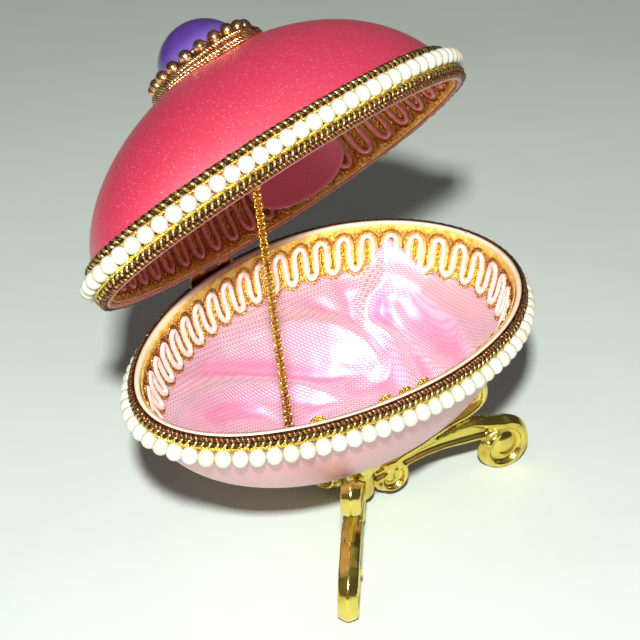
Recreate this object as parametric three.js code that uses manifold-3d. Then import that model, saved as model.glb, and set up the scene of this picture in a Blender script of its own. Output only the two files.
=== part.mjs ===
// Jewelled egg trinket box.
// A blown goose egg lies on its side and is cut lengthwise into a bowl and a hinged lid.  Both halves are
// lacquered, lined with satin, edged inside with gimp braid and outside with gold braid and a string of
// pearls.  A round cabochon in a beaded setting crowns the lid, a fine chain stays it open, and a cast
// gilt stand with three scrolled legs carries the bowl.
//
// Units are millimetres.  The egg is modelled about the centre of its cut: X runs along the egg, with the
// blunt end at +X, -Y is the front and Z is up.  The last lines move the origin to the middle of the
// underside of the whole object.

import * as THREE from 'three';
import { mergeVertices } from 'three/addons/utils/BufferGeometryUtils.js';
import Module from 'manifold-3d';

const wasm = await Module();
wasm.setup();

// ---------------------------------------------------------------- driving dimensions

const EGG_HALF_LENGTH = 45;
const EGG_GIRTH_RADIUS = 29;
const EGG_BLUNTNESS = 0.12; // how far the girth swells towards the blunt end
const SHELL_WALL = 0.9;
const GLUE_GAP = 0.3; // kept between pieces that touch
const FACET_ALLOWANCE = 0.3; // the shell's inner facets stand this far inside its true curve

const LID_OPENING_DEG = 48;
const RIM_GAP = 0.8; // between the two cut edges when the lid is shut
const HINGE_AXIS_Y = 30.3; // behind the centre line
const HINGE_AXIS_Z = 2.2; // above the bowl's cut edge
const KNUCKLE_RADIUS = 0.75;
const KNUCKLE_LENGTH = 3.6;
const HINGE_PIN_RADIUS = 0.3;
const HINGE_LEAF_WIDTH = 11.4;
const HINGE_LEAF_THICKNESS = 0.4;

const GIMP_SETBACK = 2; // bare wall between the cut edge and the gimp
const GIMP_HEIGHT = 8;
const GIMP_THICKNESS = 1.1;
const LINING_THICKNESS = 1;

const BRAID_WIDTH = 2.3; // the braid that covers each cut edge from outside
const BRAID_THICKNESS = 1.1;
const BRAID_HALF_GAP_AT_HINGE = 7; // the lid's edge braid stops short of the hinge
const PEARL_COUNT = 82;
const PEARL_RADIUS = 1.5;
const PEARL_ROW_HEIGHT = 4; // from the cut edge to the pearls' centres
const TOP_BRAID_HEIGHT = 6.5; // from the lid's cut edge to the middle of its upper braid
const TOP_BRAID_WIDTH = 1.6;

const CABOCHON_X = 1.7;
const CABOCHON_RADIUS = 8.4;
const CABOCHON_CENTRE_Z = 28.9; // above the lid's cut edge
const CABOCHON_SEAT_Z = 29.8;
const SETTING_INNER_RADIUS = 8.8;
const SETTING_OUTER_RADIUS = 11.6;
const SETTING_TOP_Z = 30;
const SETTING_BEAD_COUNT = 20;
const SETTING_BEAD_RADIUS = 1.2;
const SETTING_BEAD_RING_RADIUS = 10.7;

const CHAIN_LINKS = 20;
const CHAIN_WIDTH = 1.6;
const CHAIN_LID_X = -24.3;
const CHAIN_BOWL_X = -31;
const CHAIN_INSET = 3.6; // from the shell's outside to the chain's ends
const CHAIN_RISE = 0.8; // of its ends inside each rim

const STAND_CENTRE = [1, -6.3];
const STAND_GROUND_Z = -41;
const LEG_FIRST_AZIMUTH_DEG = -144.2;
const LEG_THICKNESS = 3.4;
const LEG_RIDGE = 0.7; // height of the ridge that runs along the middle of each leg's edges
const LEG_RIDGE_WIDTH = 0.4;
// How far each leg's cradle arm is bent up to meet the egg, in degrees.
const ARM_BENDS_DEG = [5.5, 2.6, -1];
const SADDLE_RADIUS = 5;

const RIM_STEPS = 36; // round the egg's cut edge
const GIRTH_STEPS = 10; // from one cut edge under the egg to the other

// ---------------------------------------------------------------- geometry helpers

/** Merges an indexed mesh into one closed body with its faces pointing out. */
function closedBody(positions, index) {
  const raw = new THREE.BufferGeometry();
  raw.setAttribute('position', new THREE.Float32BufferAttribute(positions, 3));
  raw.setIndex(index);
  const merged = mergeVertices(raw, 1e-4);
  const ids = merged.index.array;
  const corners = [0, 1, 2].map(() => new THREE.Vector3());
  const kept = [];
  let volume = 0;
  for (let i = 0; i < ids.length; i += 3) {
    const [a, b, c] = [ids[i], ids[i + 1], ids[i + 2]];
    if (a === b || b === c || c === a) continue;
    kept.push(a, b, c);
    [a, b, c].forEach((id, k) => corners[k].fromBufferAttribute(merged.attributes.position, id));
    volume += corners[0].dot(corners[1].clone().cross(corners[2]));
  }
  if (volume < 0) {
    for (let i = 0; i < kept.length; i += 3) [kept[i + 1], kept[i + 2]] = [kept[i + 2], kept[i + 1]];
  }
  merged.setIndex(kept);
  return merged;
}

/** Joins rings of equal length in order. ends is 'loop' for a closed path, 'flat' for capped ends,
 *  and 'pointed' where the first and last rings have already shrunk away. */
function loft(rings, ends) {
  const n = rings[0].length;
  const positions = rings.flat().flatMap((p) => [p.x, p.y, p.z]);
  const index = [];
  const spans = ends === 'loop' ? rings.length : rings.length - 1;
  for (let i = 0; i < spans; i++) {
    const here = i * n;
    const next = ((i + 1) % rings.length) * n;
    for (let j = 0; j < n; j++) {
      const k = (j + 1) % n;
      index.push(here + j, here + k, next + k, here + j, next + k, next + j);
    }
  }
  if (ends === 'flat') {
    const last = (rings.length - 1) * n;
    for (let j = 1; j < n - 1; j++) index.push(0, j + 1, j, last, last + j, last + j + 1);
  }
  return closedBody(positions, index);
}

/** A geometry as a solid that can be joined and cut. */
function toSolid(geometry) {
  const bare = new THREE.BufferGeometry();
  bare.setAttribute('position', geometry.getAttribute('position'));
  if (geometry.index) bare.setIndex(geometry.index);
  const merged = mergeVertices(bare, 1e-4);
  return new wasm.Manifold(
    new wasm.Mesh({
      numProp: 3,
      vertProperties: new Float32Array(merged.attributes.position.array),
      triVerts: new Uint32Array(merged.index.array),
    }),
  );
}

/** A solid back as a geometry. */
function toGeometry(solid) {
  const mesh = solid.getMesh();
  const geometry = new THREE.BufferGeometry();
  geometry.setAttribute('position', new THREE.BufferAttribute(mesh.vertProperties, 3));
  geometry.setIndex(new THREE.BufferAttribute(mesh.triVerts, 1));
  return geometry;
}

/** Joins geometries that overlap into one. */
function fuse(...geometries) {
  return toGeometry(geometries.map(toSolid).reduce((whole, piece) => whole.add(piece)));
}

/** Cuts the second geometry out of the first. */
function carve(geometry, cutter) {
  return toGeometry(toSolid(geometry).subtract(toSolid(cutter)));
}

/** A block between two heights, wide enough to cut anything here. */
function slab(zLow, zHigh) {
  const side = 4 * EGG_HALF_LENGTH;
  return new THREE.BoxGeometry(side, side, zHigh - zLow).translate(0, 0, (zLow + zHigh) / 2);
}

function range(count) {
  return Array.from({ length: count }, (_, i) => i);
}

// ---------------------------------------------------------------- the egg's form

/** Radius of the egg's round section at parameter t, which runs from 0 at +X to PI at -X. */
function girthRadius(t) {
  return EGG_GIRTH_RADIUS * Math.sin(t) * (1 + EGG_BLUNTNESS * Math.cos(t));
}

/** Outward normal of the egg's profile at t, as [along X, radially]. */
function profileNormal(t) {
  const dx = -EGG_HALF_LENGTH * Math.sin(t);
  const dr = EGG_GIRTH_RADIUS * (Math.cos(t) + EGG_BLUNTNESS * Math.cos(2 * t));
  const length = Math.hypot(dx, dr);
  return [dr / length, -dx / length];
}

/** A point on the egg, out from its surface by offset. v turns from +Y (0) through +Z to -Y (PI). */
function eggPoint(t, v, offset) {
  const [nx, nr] = profileNormal(t);
  const radius = girthRadius(t) + offset * nr;
  return new THREE.Vector3(
    EGG_HALF_LENGTH * Math.cos(t) + offset * nx,
    radius * Math.cos(v),
    radius * Math.sin(v),
  );
}

/** Half of the egg between two offsets from its surface: side is 1 for the lid and -1 for the bowl.
 *  The inner offset may be a function of t and v. */
function halfEgg(side, outerOffset, innerOffset) {
  const inner = typeof innerOffset === 'function' ? innerOffset : () => innerOffset;
  const turns = range(GIRTH_STEPS + 1).map((j) => (side * Math.PI * j) / GIRTH_STEPS);
  const stations = range(RIM_STEPS / 2 + 1).map((i) => (2 * Math.PI * i) / RIM_STEPS);
  const rings = stations.map((t) => [
    ...turns.map((v) => eggPoint(t, v, outerOffset)),
    ...turns.map((v) => eggPoint(t, v, inner(t, v))).reverse(),
  ]);
  return loft(rings, 'pointed');
}

/** The whole egg as a solid, out from its surface by offset. */
function wholeEgg(offset) {
  const turns = range(2 * GIRTH_STEPS).map((j) => (Math.PI * j) / GIRTH_STEPS);
  const stations = range(RIM_STEPS / 2 + 1).map((i) => (2 * Math.PI * i) / RIM_STEPS);
  return loft(stations.map((t) => turns.map((v) => eggPoint(t, v, offset))), 'pointed');
}

/** The value between low and high where a falling function passes zero. */
function whereZero(falling, low, high) {
  for (let i = 0; i < 50; i++) {
    const middle = (low + high) / 2;
    if (falling(middle) > 0) low = middle;
    else high = middle;
  }
  return (low + high) / 2;
}

/** A point at height z from the cut edge, out from the shell by offset.  w turns once round the egg,
 *  from +X through +Y, and all points of one height and offset lie on one level line of the shell. */
function rimPoint(w, offset, z) {
  const radius = (t) => girthRadius(t) + offset * profileNormal(t)[1];
  const along = (t) => EGG_HALF_LENGTH * Math.cos(t) + offset * profileNormal(t)[0];
  const nearEnd = z === 0 ? 0 : whereZero((t) => Math.abs(z) - radius(t), 0, Math.PI / 2);
  const farEnd = z === 0 ? Math.PI : whereZero((t) => radius(t) - Math.abs(z), Math.PI / 2, Math.PI);
  const x = (along(nearEnd) + along(farEnd)) / 2 + ((along(nearEnd) - along(farEnd)) / 2) * Math.cos(w);
  const t = whereZero((trial) => along(trial) - x, nearEnd, farEnd);
  const reach = Math.sqrt(Math.max(0, radius(t) ** 2 - z ** 2));
  const y = Math.abs(Math.sin(w)) < 1e-9 ? 0 : Math.sign(Math.sin(w)) * reach;
  return new THREE.Vector3(x, y, z);
}

/** A strip round the whole cut edge with a section given as [offset, z] points. */
function rimHoop(section) {
  const stations = range(RIM_STEPS).map((i) => (2 * Math.PI * i) / RIM_STEPS);
  return loft(stations.map((s) => section.map(([offset, z]) => rimPoint(s, offset, z))), 'loop');
}

/** The same strip, open at the back over a gap on either side of the hinge. */
function rimStrip(section, halfGap) {
  const from = Math.PI / 2 + Math.asin(halfGap / EGG_HALF_LENGTH);
  const to = Math.PI * 2.5 - Math.asin(halfGap / EGG_HALF_LENGTH);
  const between = range(2 * RIM_STEPS)
    .map((i) => (2 * Math.PI * i) / RIM_STEPS)
    .filter((s) => s > from + 0.02 && s < to - 0.02);
  const stations = [from, ...between, to];
  return loft(stations.map((s) => section.map(([offset, z]) => rimPoint(s, offset, z))), 'flat');
}

/** A rectangle as a section: offsets inner to outer, heights low to high. */
function band(inner, outer, low, high) {
  return [[inner, low], [outer, low], [outer, high], [inner, high]];
}

/** Parameters that lie evenly along the rim at an offset, for things strung round it. */
function evenStations(count, offset, z) {
  const fine = range(361).map((i) => (2 * Math.PI * i) / 360);
  const points = fine.map((s) => rimPoint(s, offset, z));
  const lengths = [0];
  for (let i = 1; i < points.length; i++) lengths.push(lengths[i - 1] + points[i].distanceTo(points[i - 1]));
  const total = lengths[lengths.length - 1];
  return range(count).map((k) => {
    const wanted = (total * k) / count;
    const i = Math.max(1, lengths.findIndex((length) => length >= wanted));
    const share = (wanted - lengths[i - 1]) / (lengths[i] - lengths[i - 1]);
    return fine[i - 1] + share * (fine[i] - fine[i - 1]);
  });
}

// ---------------------------------------------------------------- shells, linings and trim

/** Lacquered half shell with its true wall. */
function shell(side) {
  return halfEgg(side, 0, -SHELL_WALL);
}

/** Depth of the satin's folds at t and v: a few rounded ridges that run across the bowl. */
function satinFold(t, v) {
  const along = (t / Math.PI) * 5;
  const away = Math.abs(Math.sin(v)) * Math.sin(t); // none at the rim or at the ends
  return 0.9 * away * Math.max(0, Math.sin(Math.PI * along + 1.2 * Math.cos(v))) ** 2;
}

/** Satin lining, tucked in under the gimp. */
function lining(side) {
  const outside = -SHELL_WALL - GLUE_GAP;
  const inside = (t, v) => outside - LINING_THICKNESS - satinFold(t, v);
  const bowl = halfEgg(side, outside, inside);
  const edge = GIMP_SETBACK + GIMP_HEIGHT + GLUE_GAP;
  const waste = side > 0 ? slab(-1, edge) : slab(-edge, 1);
  return carve(bowl, waste);
}

/** Gimp braid that stands round the inside of the rim. */
function gimp(side) {
  const outer = -SHELL_WALL - GLUE_GAP - FACET_ALLOWANCE;
  const ends = [side * GIMP_SETBACK, side * (GIMP_SETBACK + GIMP_HEIGHT)].sort((a, b) => a - b);
  return rimHoop(band(outer - GIMP_THICKNESS, outer, ends[0], ends[1]));
}

/** Gold braid laid over the outside of the cut edge, broken at the hinge. */
function edgeBraid(side) {
  const ends = [0, side * BRAID_WIDTH].sort((a, b) => a - b);
  const section = band(GLUE_GAP, GLUE_GAP + BRAID_THICKNESS, ends[0], ends[1]);
  return rimStrip(section, BRAID_HALF_GAP_AT_HINGE);
}

/** Narrow braid above the lid's pearls. */
function topBraid() {
  const half = TOP_BRAID_WIDTH / 2;
  return rimHoop([
    [GLUE_GAP, TOP_BRAID_HEIGHT - half],
    [GLUE_GAP + 0.9, TOP_BRAID_HEIGHT],
    [GLUE_GAP, TOP_BRAID_HEIGHT + half],
  ]);
}

/** The string of pearls: each swells from a neck to its girth and back, and is flat where it is glued. */
function pearlString(side) {
  const sides = 5;
  const centreOffset = 1.62;
  const neck = 0.42;
  const fullRadius = PEARL_RADIUS * 1.08;
  const z = side * PEARL_ROW_HEIGHT;
  const stations = evenStations(2 * PEARL_COUNT, centreOffset, z);
  const rings = stations.map((s, i) => {
    const radius = i % 2 === 0 ? fullRadius : fullRadius * neck;
    return range(sides).map((k) => {
      const turn = (2 * Math.PI * k) / sides;
      return rimPoint(s, centreOffset + radius * Math.cos(turn), z + radius * Math.sin(turn));
    });
  });
  return loft(rings, 'loop');
}

// ---------------------------------------------------------------- crown of the lid

/** The domed stone, flat underneath where it sits on the setting. */
function cabochon() {
  const rise = CABOCHON_SEAT_Z - CABOCHON_CENTRE_Z;
  const start = Math.asin(rise / CABOCHON_RADIUS);
  const steps = 6;
  const profile = [new THREE.Vector2(0, CABOCHON_SEAT_Z)];
  for (const i of range(steps + 1)) {
    const angle = start + ((Math.PI / 2 - start) * i) / steps;
    const radius = i === steps ? 0 : CABOCHON_RADIUS * Math.cos(angle);
    profile.push(new THREE.Vector2(radius, CABOCHON_CENTRE_Z + CABOCHON_RADIUS * Math.sin(angle)));
  }
  return new THREE.LatheGeometry(profile, 20).rotateX(Math.PI / 2).translate(CABOCHON_X, 0, 0);
}

/** Beaded gilt setting: a skirt fitted to the curve of the lid, with a ring of beads on its edge. */
function cabochonSetting() {
  const skirt = new THREE.LatheGeometry(
    [
      new THREE.Vector2(SETTING_INNER_RADIUS, 25),
      new THREE.Vector2(SETTING_OUTER_RADIUS, 25),
      new THREE.Vector2(SETTING_OUTER_RADIUS, SETTING_TOP_Z - 0.8),
      new THREE.Vector2(SETTING_BEAD_RING_RADIUS, SETTING_TOP_Z),
      new THREE.Vector2(SETTING_INNER_RADIUS, SETTING_TOP_Z),
      new THREE.Vector2(SETTING_INNER_RADIUS, 25),
    ],
    SETTING_BEAD_COUNT,
  )
    .rotateX(Math.PI / 2)
    .translate(CABOCHON_X, 0, 0);
  const sides = 5;
  const rings = range(2 * SETTING_BEAD_COUNT).map((i) => {
    const around = (Math.PI * i) / SETTING_BEAD_COUNT;
    const radius = SETTING_BEAD_RADIUS * (i % 2 === 0 ? 1 : 0.4);
    return range(sides).map((k) => {
      const turn = (2 * Math.PI * k) / sides;
      const reach = SETTING_BEAD_RING_RADIUS + radius * Math.cos(turn);
      return new THREE.Vector3(
        CABOCHON_X + reach * Math.cos(around),
        reach * Math.sin(around),
        SETTING_TOP_Z + 0.4 + radius * Math.sin(turn),
      );
    });
  });
  return carve(fuse(skirt, loft(rings, 'loop')), wholeEgg(GLUE_GAP));
}

// ---------------------------------------------------------------- hinge and stay

/** A barrel of the hinge, on the hinge axis, with a hole for the pin. */
function knuckle(x) {
  const barrel = new THREE.CylinderGeometry(KNUCKLE_RADIUS, KNUCKLE_RADIUS, KNUCKLE_LENGTH, 12);
  return barrel.rotateZ(Math.PI / 2).translate(x, HINGE_AXIS_Y, HINGE_AXIS_Z);
}

/** Hole through all the knuckles. */
function pinHole() {
  const hole = new THREE.CylinderGeometry(0.42, 0.42, 2 * HINGE_LEAF_WIDTH, 8);
  return hole.rotateZ(Math.PI / 2).translate(0, HINGE_AXIS_Y, HINGE_AXIS_Z);
}

/** A flat leaf against the back of a shell, reaching up or down to the hinge axis. */
function leaf(x, width, low, high) {
  const y = HINGE_AXIS_Y - KNUCKLE_RADIUS + HINGE_LEAF_THICKNESS / 2;
  return new THREE.BoxGeometry(width, HINGE_LEAF_THICKNESS, high - low).translate(x, y, (low + high) / 2);
}

/** The bowl's leaf, with a knuckle at each end of the barrel. */
function bowlHingeLeaf() {
  const reach = KNUCKLE_LENGTH + GLUE_GAP;
  const plate = leaf(0, HINGE_LEAF_WIDTH, -2.1, 0.6);
  const ears = [-reach, reach].map((x) => fuse(knuckle(x), leaf(x, KNUCKLE_LENGTH, 0.4, HINGE_AXIS_Z)));
  return carve(fuse(plate, ...ears), pinHole());
}

/** The lid's short leaf, with the middle knuckle, in the place it has when the lid is shut. */
function lidHingeLeaf() {
  const pearlsStart = RIM_GAP + PEARL_ROW_HEIGHT - PEARL_RADIUS - GLUE_GAP;
  return carve(fuse(leaf(0, KNUCKLE_LENGTH, RIM_GAP, pearlsStart), knuckle(0)), pinHole());
}

/** The pin that holds the knuckles together. */
function hingePin() {
  const length = 3 * KNUCKLE_LENGTH + 4 * GLUE_GAP;
  const pin = new THREE.CylinderGeometry(HINGE_PIN_RADIUS, HINGE_PIN_RADIUS, length, 8);
  return pin.rotateZ(Math.PI / 2).translate(0, HINGE_AXIS_Y, HINGE_AXIS_Z);
}

/** Where the stay chain meets a rim, in that half's own frame. */
function chainEnd(x, side) {
  const s = 2 * Math.PI - Math.acos(x / EGG_HALF_LENGTH);
  return rimPoint(s, -CHAIN_INSET, side * CHAIN_RISE);
}

/** Fine chain drawn straight between its two ends: each link is turned a quarter from the last. */
function stayChain(from, to) {
  const along = to.clone().sub(from).normalize();
  const wide = new THREE.Vector3(1, 0, 0).addScaledVector(along, -along.x).normalize();
  const deep = along.clone().cross(wide);
  const rings = range(2 * CHAIN_LINKS + 1).map((i) => {
    const centre = from.clone().lerp(to, i / (2 * CHAIN_LINKS));
    const broad = i % 4 === 1 ? 1 : 0.45;
    const thick = i % 4 === 3 ? 1 : 0.45;
    return [[1, 0], [0, 1], [-1, 0], [0, -1]].map(([a, b]) =>
      centre
        .clone()
        .addScaledVector(wide, (a * broad * CHAIN_WIDTH) / 2)
        .addScaledVector(deep, (b * thick * CHAIN_WIDTH) / 2),
    );
  });
  return loft(rings, 'flat');
}

// ---------------------------------------------------------------- stand

/** A flat outline of changing width along a smooth line through the points, each [r, z, width]. */
function ribbon(points, steps) {
  const line = new THREE.SplineCurve(points.map(([r, z]) => new THREE.Vector2(r, z)));
  const widths = new THREE.SplineCurve(points.map(([, , width], i) => new THREE.Vector2(i, width)));
  const edge = (u, side) => {
    const tangent = line.getTangent(u);
    const half = (side * widths.getPoint(u).y) / 2;
    return line.getPoint(u).add(new THREE.Vector2(-tangent.y * half, tangent.x * half));
  };
  const shares = range(steps + 1).map((i) => i / steps);
  return new THREE.Shape([
    ...shares.map((u) => edge(u, -1)),
    ...shares.map((u) => edge(u, 1)).reverse(),
  ]);
}

function disc(r, z, radius) {
  const shape = new THREE.Shape();
  shape.absarc(r, z, radius, 0, 2 * Math.PI);
  return shape;
}

/** An outline in a leg's upright plane as a bar with ridged edges, lying along +X with Z up. */
function legBar(shape, curveSegments = 8) {
  const bar = new THREE.ExtrudeGeometry(shape, {
    depth: LEG_RIDGE_WIDTH,
    bevelThickness: (LEG_THICKNESS - LEG_RIDGE_WIDTH) / 2,
    bevelSize: LEG_RIDGE,
    bevelOffset: -LEG_RIDGE,
    bevelSegments: 1,
    curveSegments,
  });
  return bar.translate(0, 0, -LEG_RIDGE_WIDTH / 2).rotateX(Math.PI / 2);
}

/** The cradle arm that hugs the egg, ending in a curl, bent up about its root. */
function cradleArm(bendDeg) {
  const root = [6, -33];
  const arm = legBar(
    ribbon(
      [
        [5.6, -34.6, 2], [8.4, -31.6, 2.2], [13.5, -29.8, 2], [19.5, -27.6, 1.9],
        [24.4, -26.4, 1.9], [27.3, -24.6, 2], [28.1, -21.9, 2.1], [27, -20.2, 1.9],
        [25.2, -20.9, 1.7], [24.3, -22.8, 1.6],
      ],
      14,
    ),
  );
  const bend = new THREE.Matrix4()
    .makeTranslation(root[0], 0, root[1])
    .multiply(new THREE.Matrix4().makeRotationY(-THREE.MathUtils.degToRad(bendDeg)))
    .multiply(new THREE.Matrix4().makeTranslation(-root[0], 0, -root[1]));
  return arm.applyMatrix4(bend);
}

/** One leg: an S-curved arm that rolls into a foot, a small lobe below the hub, and the cradle arm. */
function leg(bendDeg) {
  const arm = legBar(
    ribbon(
      [
        [0.5, -34.4, 4], [6, -33.4, 3.4], [11, -31.9, 3.2], [17, -30.5, 3.8],
        [24, -30.1, 4.1], [30.5, -31.4, 3.8], [35.2, -34.4, 4.4], [35.6, -38, 4],
      ],
      10,
    ),
  );
  const foot = legBar(disc(33, -36, 5.2), 6);
  const lobe = legBar(disc(6.9, -35.1, 3.7), 4);
  return fuse(arm, foot, lobe, cradleArm(bendDeg));
}

/** The whole casting: three legs on a hub whose saddle meets the egg, with flats under the feet. */
function stand() {
  const hub = new THREE.LatheGeometry(
    [
      [0, -38.6], [2.4, -38.6], [3.4, -37.4], [3.4, -32.4], [SADDLE_RADIUS, -30], [SADDLE_RADIUS, -26], [0, -26],
    ].map(([r, z]) => new THREE.Vector2(r, z)),
    16,
  ).rotateX(Math.PI / 2);
  const legs = ARM_BENDS_DEG.map((bend, i) => {
    const azimuth = THREE.MathUtils.degToRad(LEG_FIRST_AZIMUTH_DEG + 120 * i);
    return leg(bend).rotateZ(azimuth);
  });
  const casting = fuse(hub, ...legs).translate(STAND_CENTRE[0], STAND_CENTRE[1], 0);
  return carve(carve(casting, wholeEgg(GLUE_GAP + 0.05)), slab(STAND_GROUND_Z - 10, STAND_GROUND_Z));
}

// ---------------------------------------------------------------- finishes

const lacquer = { color: 0xd8305e, roughness: 0.28, metalness: 0.1 };
const paleLacquer = { color: 0xd8a4ab, roughness: 0.3, metalness: 0.1 };
const satin = { color: 0xf08fb4, roughness: 0.45, metalness: 0 };
const gimpCord = { color: 0xd99a7c, roughness: 0.6, metalness: 0.2 };
const goldBraid = { color: 0x8a6a2c, roughness: 0.4, metalness: 0.8 };
const pearl = { color: 0xf3efe0, roughness: 0.25, metalness: 0 };
const stone = { color: 0x5f3fa8, roughness: 0.35, metalness: 0 };
const antiqueGold = { color: 0xb98f3c, roughness: 0.35, metalness: 1 };
const gilt = { color: 0xe3c53c, roughness: 0.25, metalness: 1 };
const brass = { color: 0x9c6a34, roughness: 0.4, metalness: 1 };

/** One named piece with a finish of its own. */
function piece(name, geometry, finish) {
  geometry.computeVertexNormals();
  const mesh = new THREE.Mesh(geometry, new THREE.MeshStandardMaterial({ ...finish, flatShading: true }));
  mesh.name = name;
  return mesh;
}

// ---------------------------------------------------------------- assembly

const LID = 1;
const BOWL = -1;

// The lid's pieces are made in the lid's own frame, with its cut edge at z = 0.
const lidPieces = new THREE.Group();
lidPieces.position.set(0, -HINGE_AXIS_Y, RIM_GAP - HINGE_AXIS_Z);
lidPieces.add(
  piece('lid_shell', shell(LID), lacquer),
  piece('lid_lining', lining(LID), satin),
  piece('lid_gimp', gimp(LID), gimpCord),
  piece('lid_edge_braid', edgeBraid(LID), goldBraid),
  piece('lid_pearls', pearlString(LID), pearl),
  piece('lid_top_braid', topBraid(), goldBraid),
  piece('cabochon', cabochon(), stone),
  piece('cabochon_setting', cabochonSetting(), antiqueGold),
);

// The hinge's lid leaf is made round the hinge axis, in the frame of the bowl.
const lidLeaf = piece('lid_hinge_leaf', lidHingeLeaf().translate(0, -HINGE_AXIS_Y, -HINGE_AXIS_Z), brass);

const lid = new THREE.Group();
lid.position.set(0, HINGE_AXIS_Y, HINGE_AXIS_Z);
lid.rotation.x = -THREE.MathUtils.degToRad(LID_OPENING_DEG);
lid.add(lidPieces, lidLeaf);
lid.updateMatrixWorld(true);

const chainTop = chainEnd(CHAIN_LID_X, LID).applyMatrix4(lidPieces.matrixWorld);
const chainFoot = chainEnd(CHAIN_BOWL_X, BOWL);

const group = new THREE.Group();
group.add(
  piece('stand', stand(), gilt),
  piece('bowl_shell', shell(BOWL), paleLacquer),
  piece('bowl_lining', lining(BOWL), satin),
  piece('bowl_gimp', gimp(BOWL), gimpCord),
  piece('bowl_edge_braid', edgeBraid(BOWL), goldBraid),
  piece('bowl_pearls', pearlString(BOWL), pearl),
  piece('bowl_hinge_leaf', bowlHingeLeaf(), brass),
  piece('hinge_pin', hingePin(), brass),
  piece('stay_chain', stayChain(chainFoot, chainTop), antiqueGold),
  lid,
);

// The origin goes to the middle of the object's underside.
const box = new THREE.Box3().setFromObject(group, true);
const middle = box.getCenter(new THREE.Vector3());
group.position.set(-middle.x, -middle.y, -box.min.z);
group.updateMatrixWorld(true);

export default group;
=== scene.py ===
# %% [markdown]
# # A jewelled egg trinket box
# A blown goose egg, cut lengthwise into a bowl and a hinged lid, lacquered outside, lined with satin and
# trimmed with braid and pearls.  This lesson builds its looks on a frame that already fixes every size:
# the frame's solids say where each piece goes, and here each gets its real surface.  We work in the
# maker's millimetres about the middle of the cut, and move to the scene's metres in one place only.

# %% Load the frame
import math

import bmesh
import bpy
import numpy as np
from mathutils import Matrix, Vector


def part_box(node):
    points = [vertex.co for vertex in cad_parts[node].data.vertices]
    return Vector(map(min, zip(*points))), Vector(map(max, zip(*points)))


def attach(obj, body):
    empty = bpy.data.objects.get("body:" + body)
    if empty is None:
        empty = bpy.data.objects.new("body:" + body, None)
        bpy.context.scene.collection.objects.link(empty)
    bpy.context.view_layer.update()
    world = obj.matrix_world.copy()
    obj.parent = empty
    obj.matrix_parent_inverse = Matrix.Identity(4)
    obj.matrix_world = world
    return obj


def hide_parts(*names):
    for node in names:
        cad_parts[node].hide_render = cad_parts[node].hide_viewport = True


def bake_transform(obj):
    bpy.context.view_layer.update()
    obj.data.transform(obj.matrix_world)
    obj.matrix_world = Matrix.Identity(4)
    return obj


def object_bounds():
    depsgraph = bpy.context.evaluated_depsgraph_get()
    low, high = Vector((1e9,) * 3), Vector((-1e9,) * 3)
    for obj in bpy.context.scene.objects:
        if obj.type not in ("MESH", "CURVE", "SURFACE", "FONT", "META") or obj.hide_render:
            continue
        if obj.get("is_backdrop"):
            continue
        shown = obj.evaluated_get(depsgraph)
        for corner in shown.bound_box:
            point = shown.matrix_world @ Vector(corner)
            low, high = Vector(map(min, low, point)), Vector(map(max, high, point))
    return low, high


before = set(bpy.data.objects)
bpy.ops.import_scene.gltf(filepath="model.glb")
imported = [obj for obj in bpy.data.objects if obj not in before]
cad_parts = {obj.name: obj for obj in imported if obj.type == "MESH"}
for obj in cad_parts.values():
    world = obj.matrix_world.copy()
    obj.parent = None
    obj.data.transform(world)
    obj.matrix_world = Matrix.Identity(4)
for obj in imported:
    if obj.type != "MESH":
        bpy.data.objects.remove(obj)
cad_box = [[float(x) for x in corner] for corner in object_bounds()]
bowl_low, bowl_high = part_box("bowl_shell")
EGG_MIDDLE = np.array([(bowl_low[0] + bowl_high[0]) / 2, (bowl_low[1] + bowl_high[1]) / 2, bowl_high[2]])
MM = 0.001
print("egg's middle, in metres:", EGG_MIDDLE.round(5))

# %% [markdown]
# The camera looks down into the open bowl over the narrow end.  It is placed first, from its direction
# and distance to the egg, because everything later is judged through it.

# %% Camera
VIEW_AZIMUTH, VIEW_ELEVATION, VIEW_ROLL = (math.radians(a) for a in (-50.36, 30.76, -0.63))
VIEW_DISTANCE = 378.6  # millimetres from the egg's middle
VIEW_LENS, VIEW_SENSOR = 113.0, 36.0
VIEW_ASIDE = (1.48, -0.10)  # the camera stands this far left of and above the line to the egg

back = np.array([
    math.sin(VIEW_AZIMUTH) * math.cos(VIEW_ELEVATION),
    -math.cos(VIEW_AZIMUTH) * math.cos(VIEW_ELEVATION),
    math.sin(VIEW_ELEVATION),
])
level = np.cross(-back, (0, 0, 1))
level /= np.linalg.norm(level)
upright = np.cross(level, -back)
right = level * math.cos(VIEW_ROLL) + upright * math.sin(VIEW_ROLL)
above = upright * math.cos(VIEW_ROLL) - level * math.sin(VIEW_ROLL)
stand_point = back * VIEW_DISTANCE - right * VIEW_ASIDE[0] - above * VIEW_ASIDE[1]

camera = bpy.data.objects.new("camera", bpy.data.cameras.new("camera"))
bpy.context.collection.objects.link(camera)
camera.data.lens, camera.data.sensor_width = VIEW_LENS, VIEW_SENSOR
camera.data.clip_start, camera.data.clip_end = 0.01, 10
pose = np.eye(4)
pose[:3, 0], pose[:3, 1], pose[:3, 2] = right, above, back
pose[:3, 3] = EGG_MIDDLE + stand_point * MM
camera.matrix_world = Matrix(pose.tolist())
bpy.context.scene.camera = camera
print("camera stands at", pose[:3, 3].round(4))

# %% [markdown]
# ## The form of the egg
# The egg is round across and longer than it is wide, fatter towards one end.  A parameter t runs from
# the blunt end to the narrow one.  Trim follows level lines round the cut, so one function gives the
# point at any height from the cut edge and any distance out from the shell.

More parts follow.
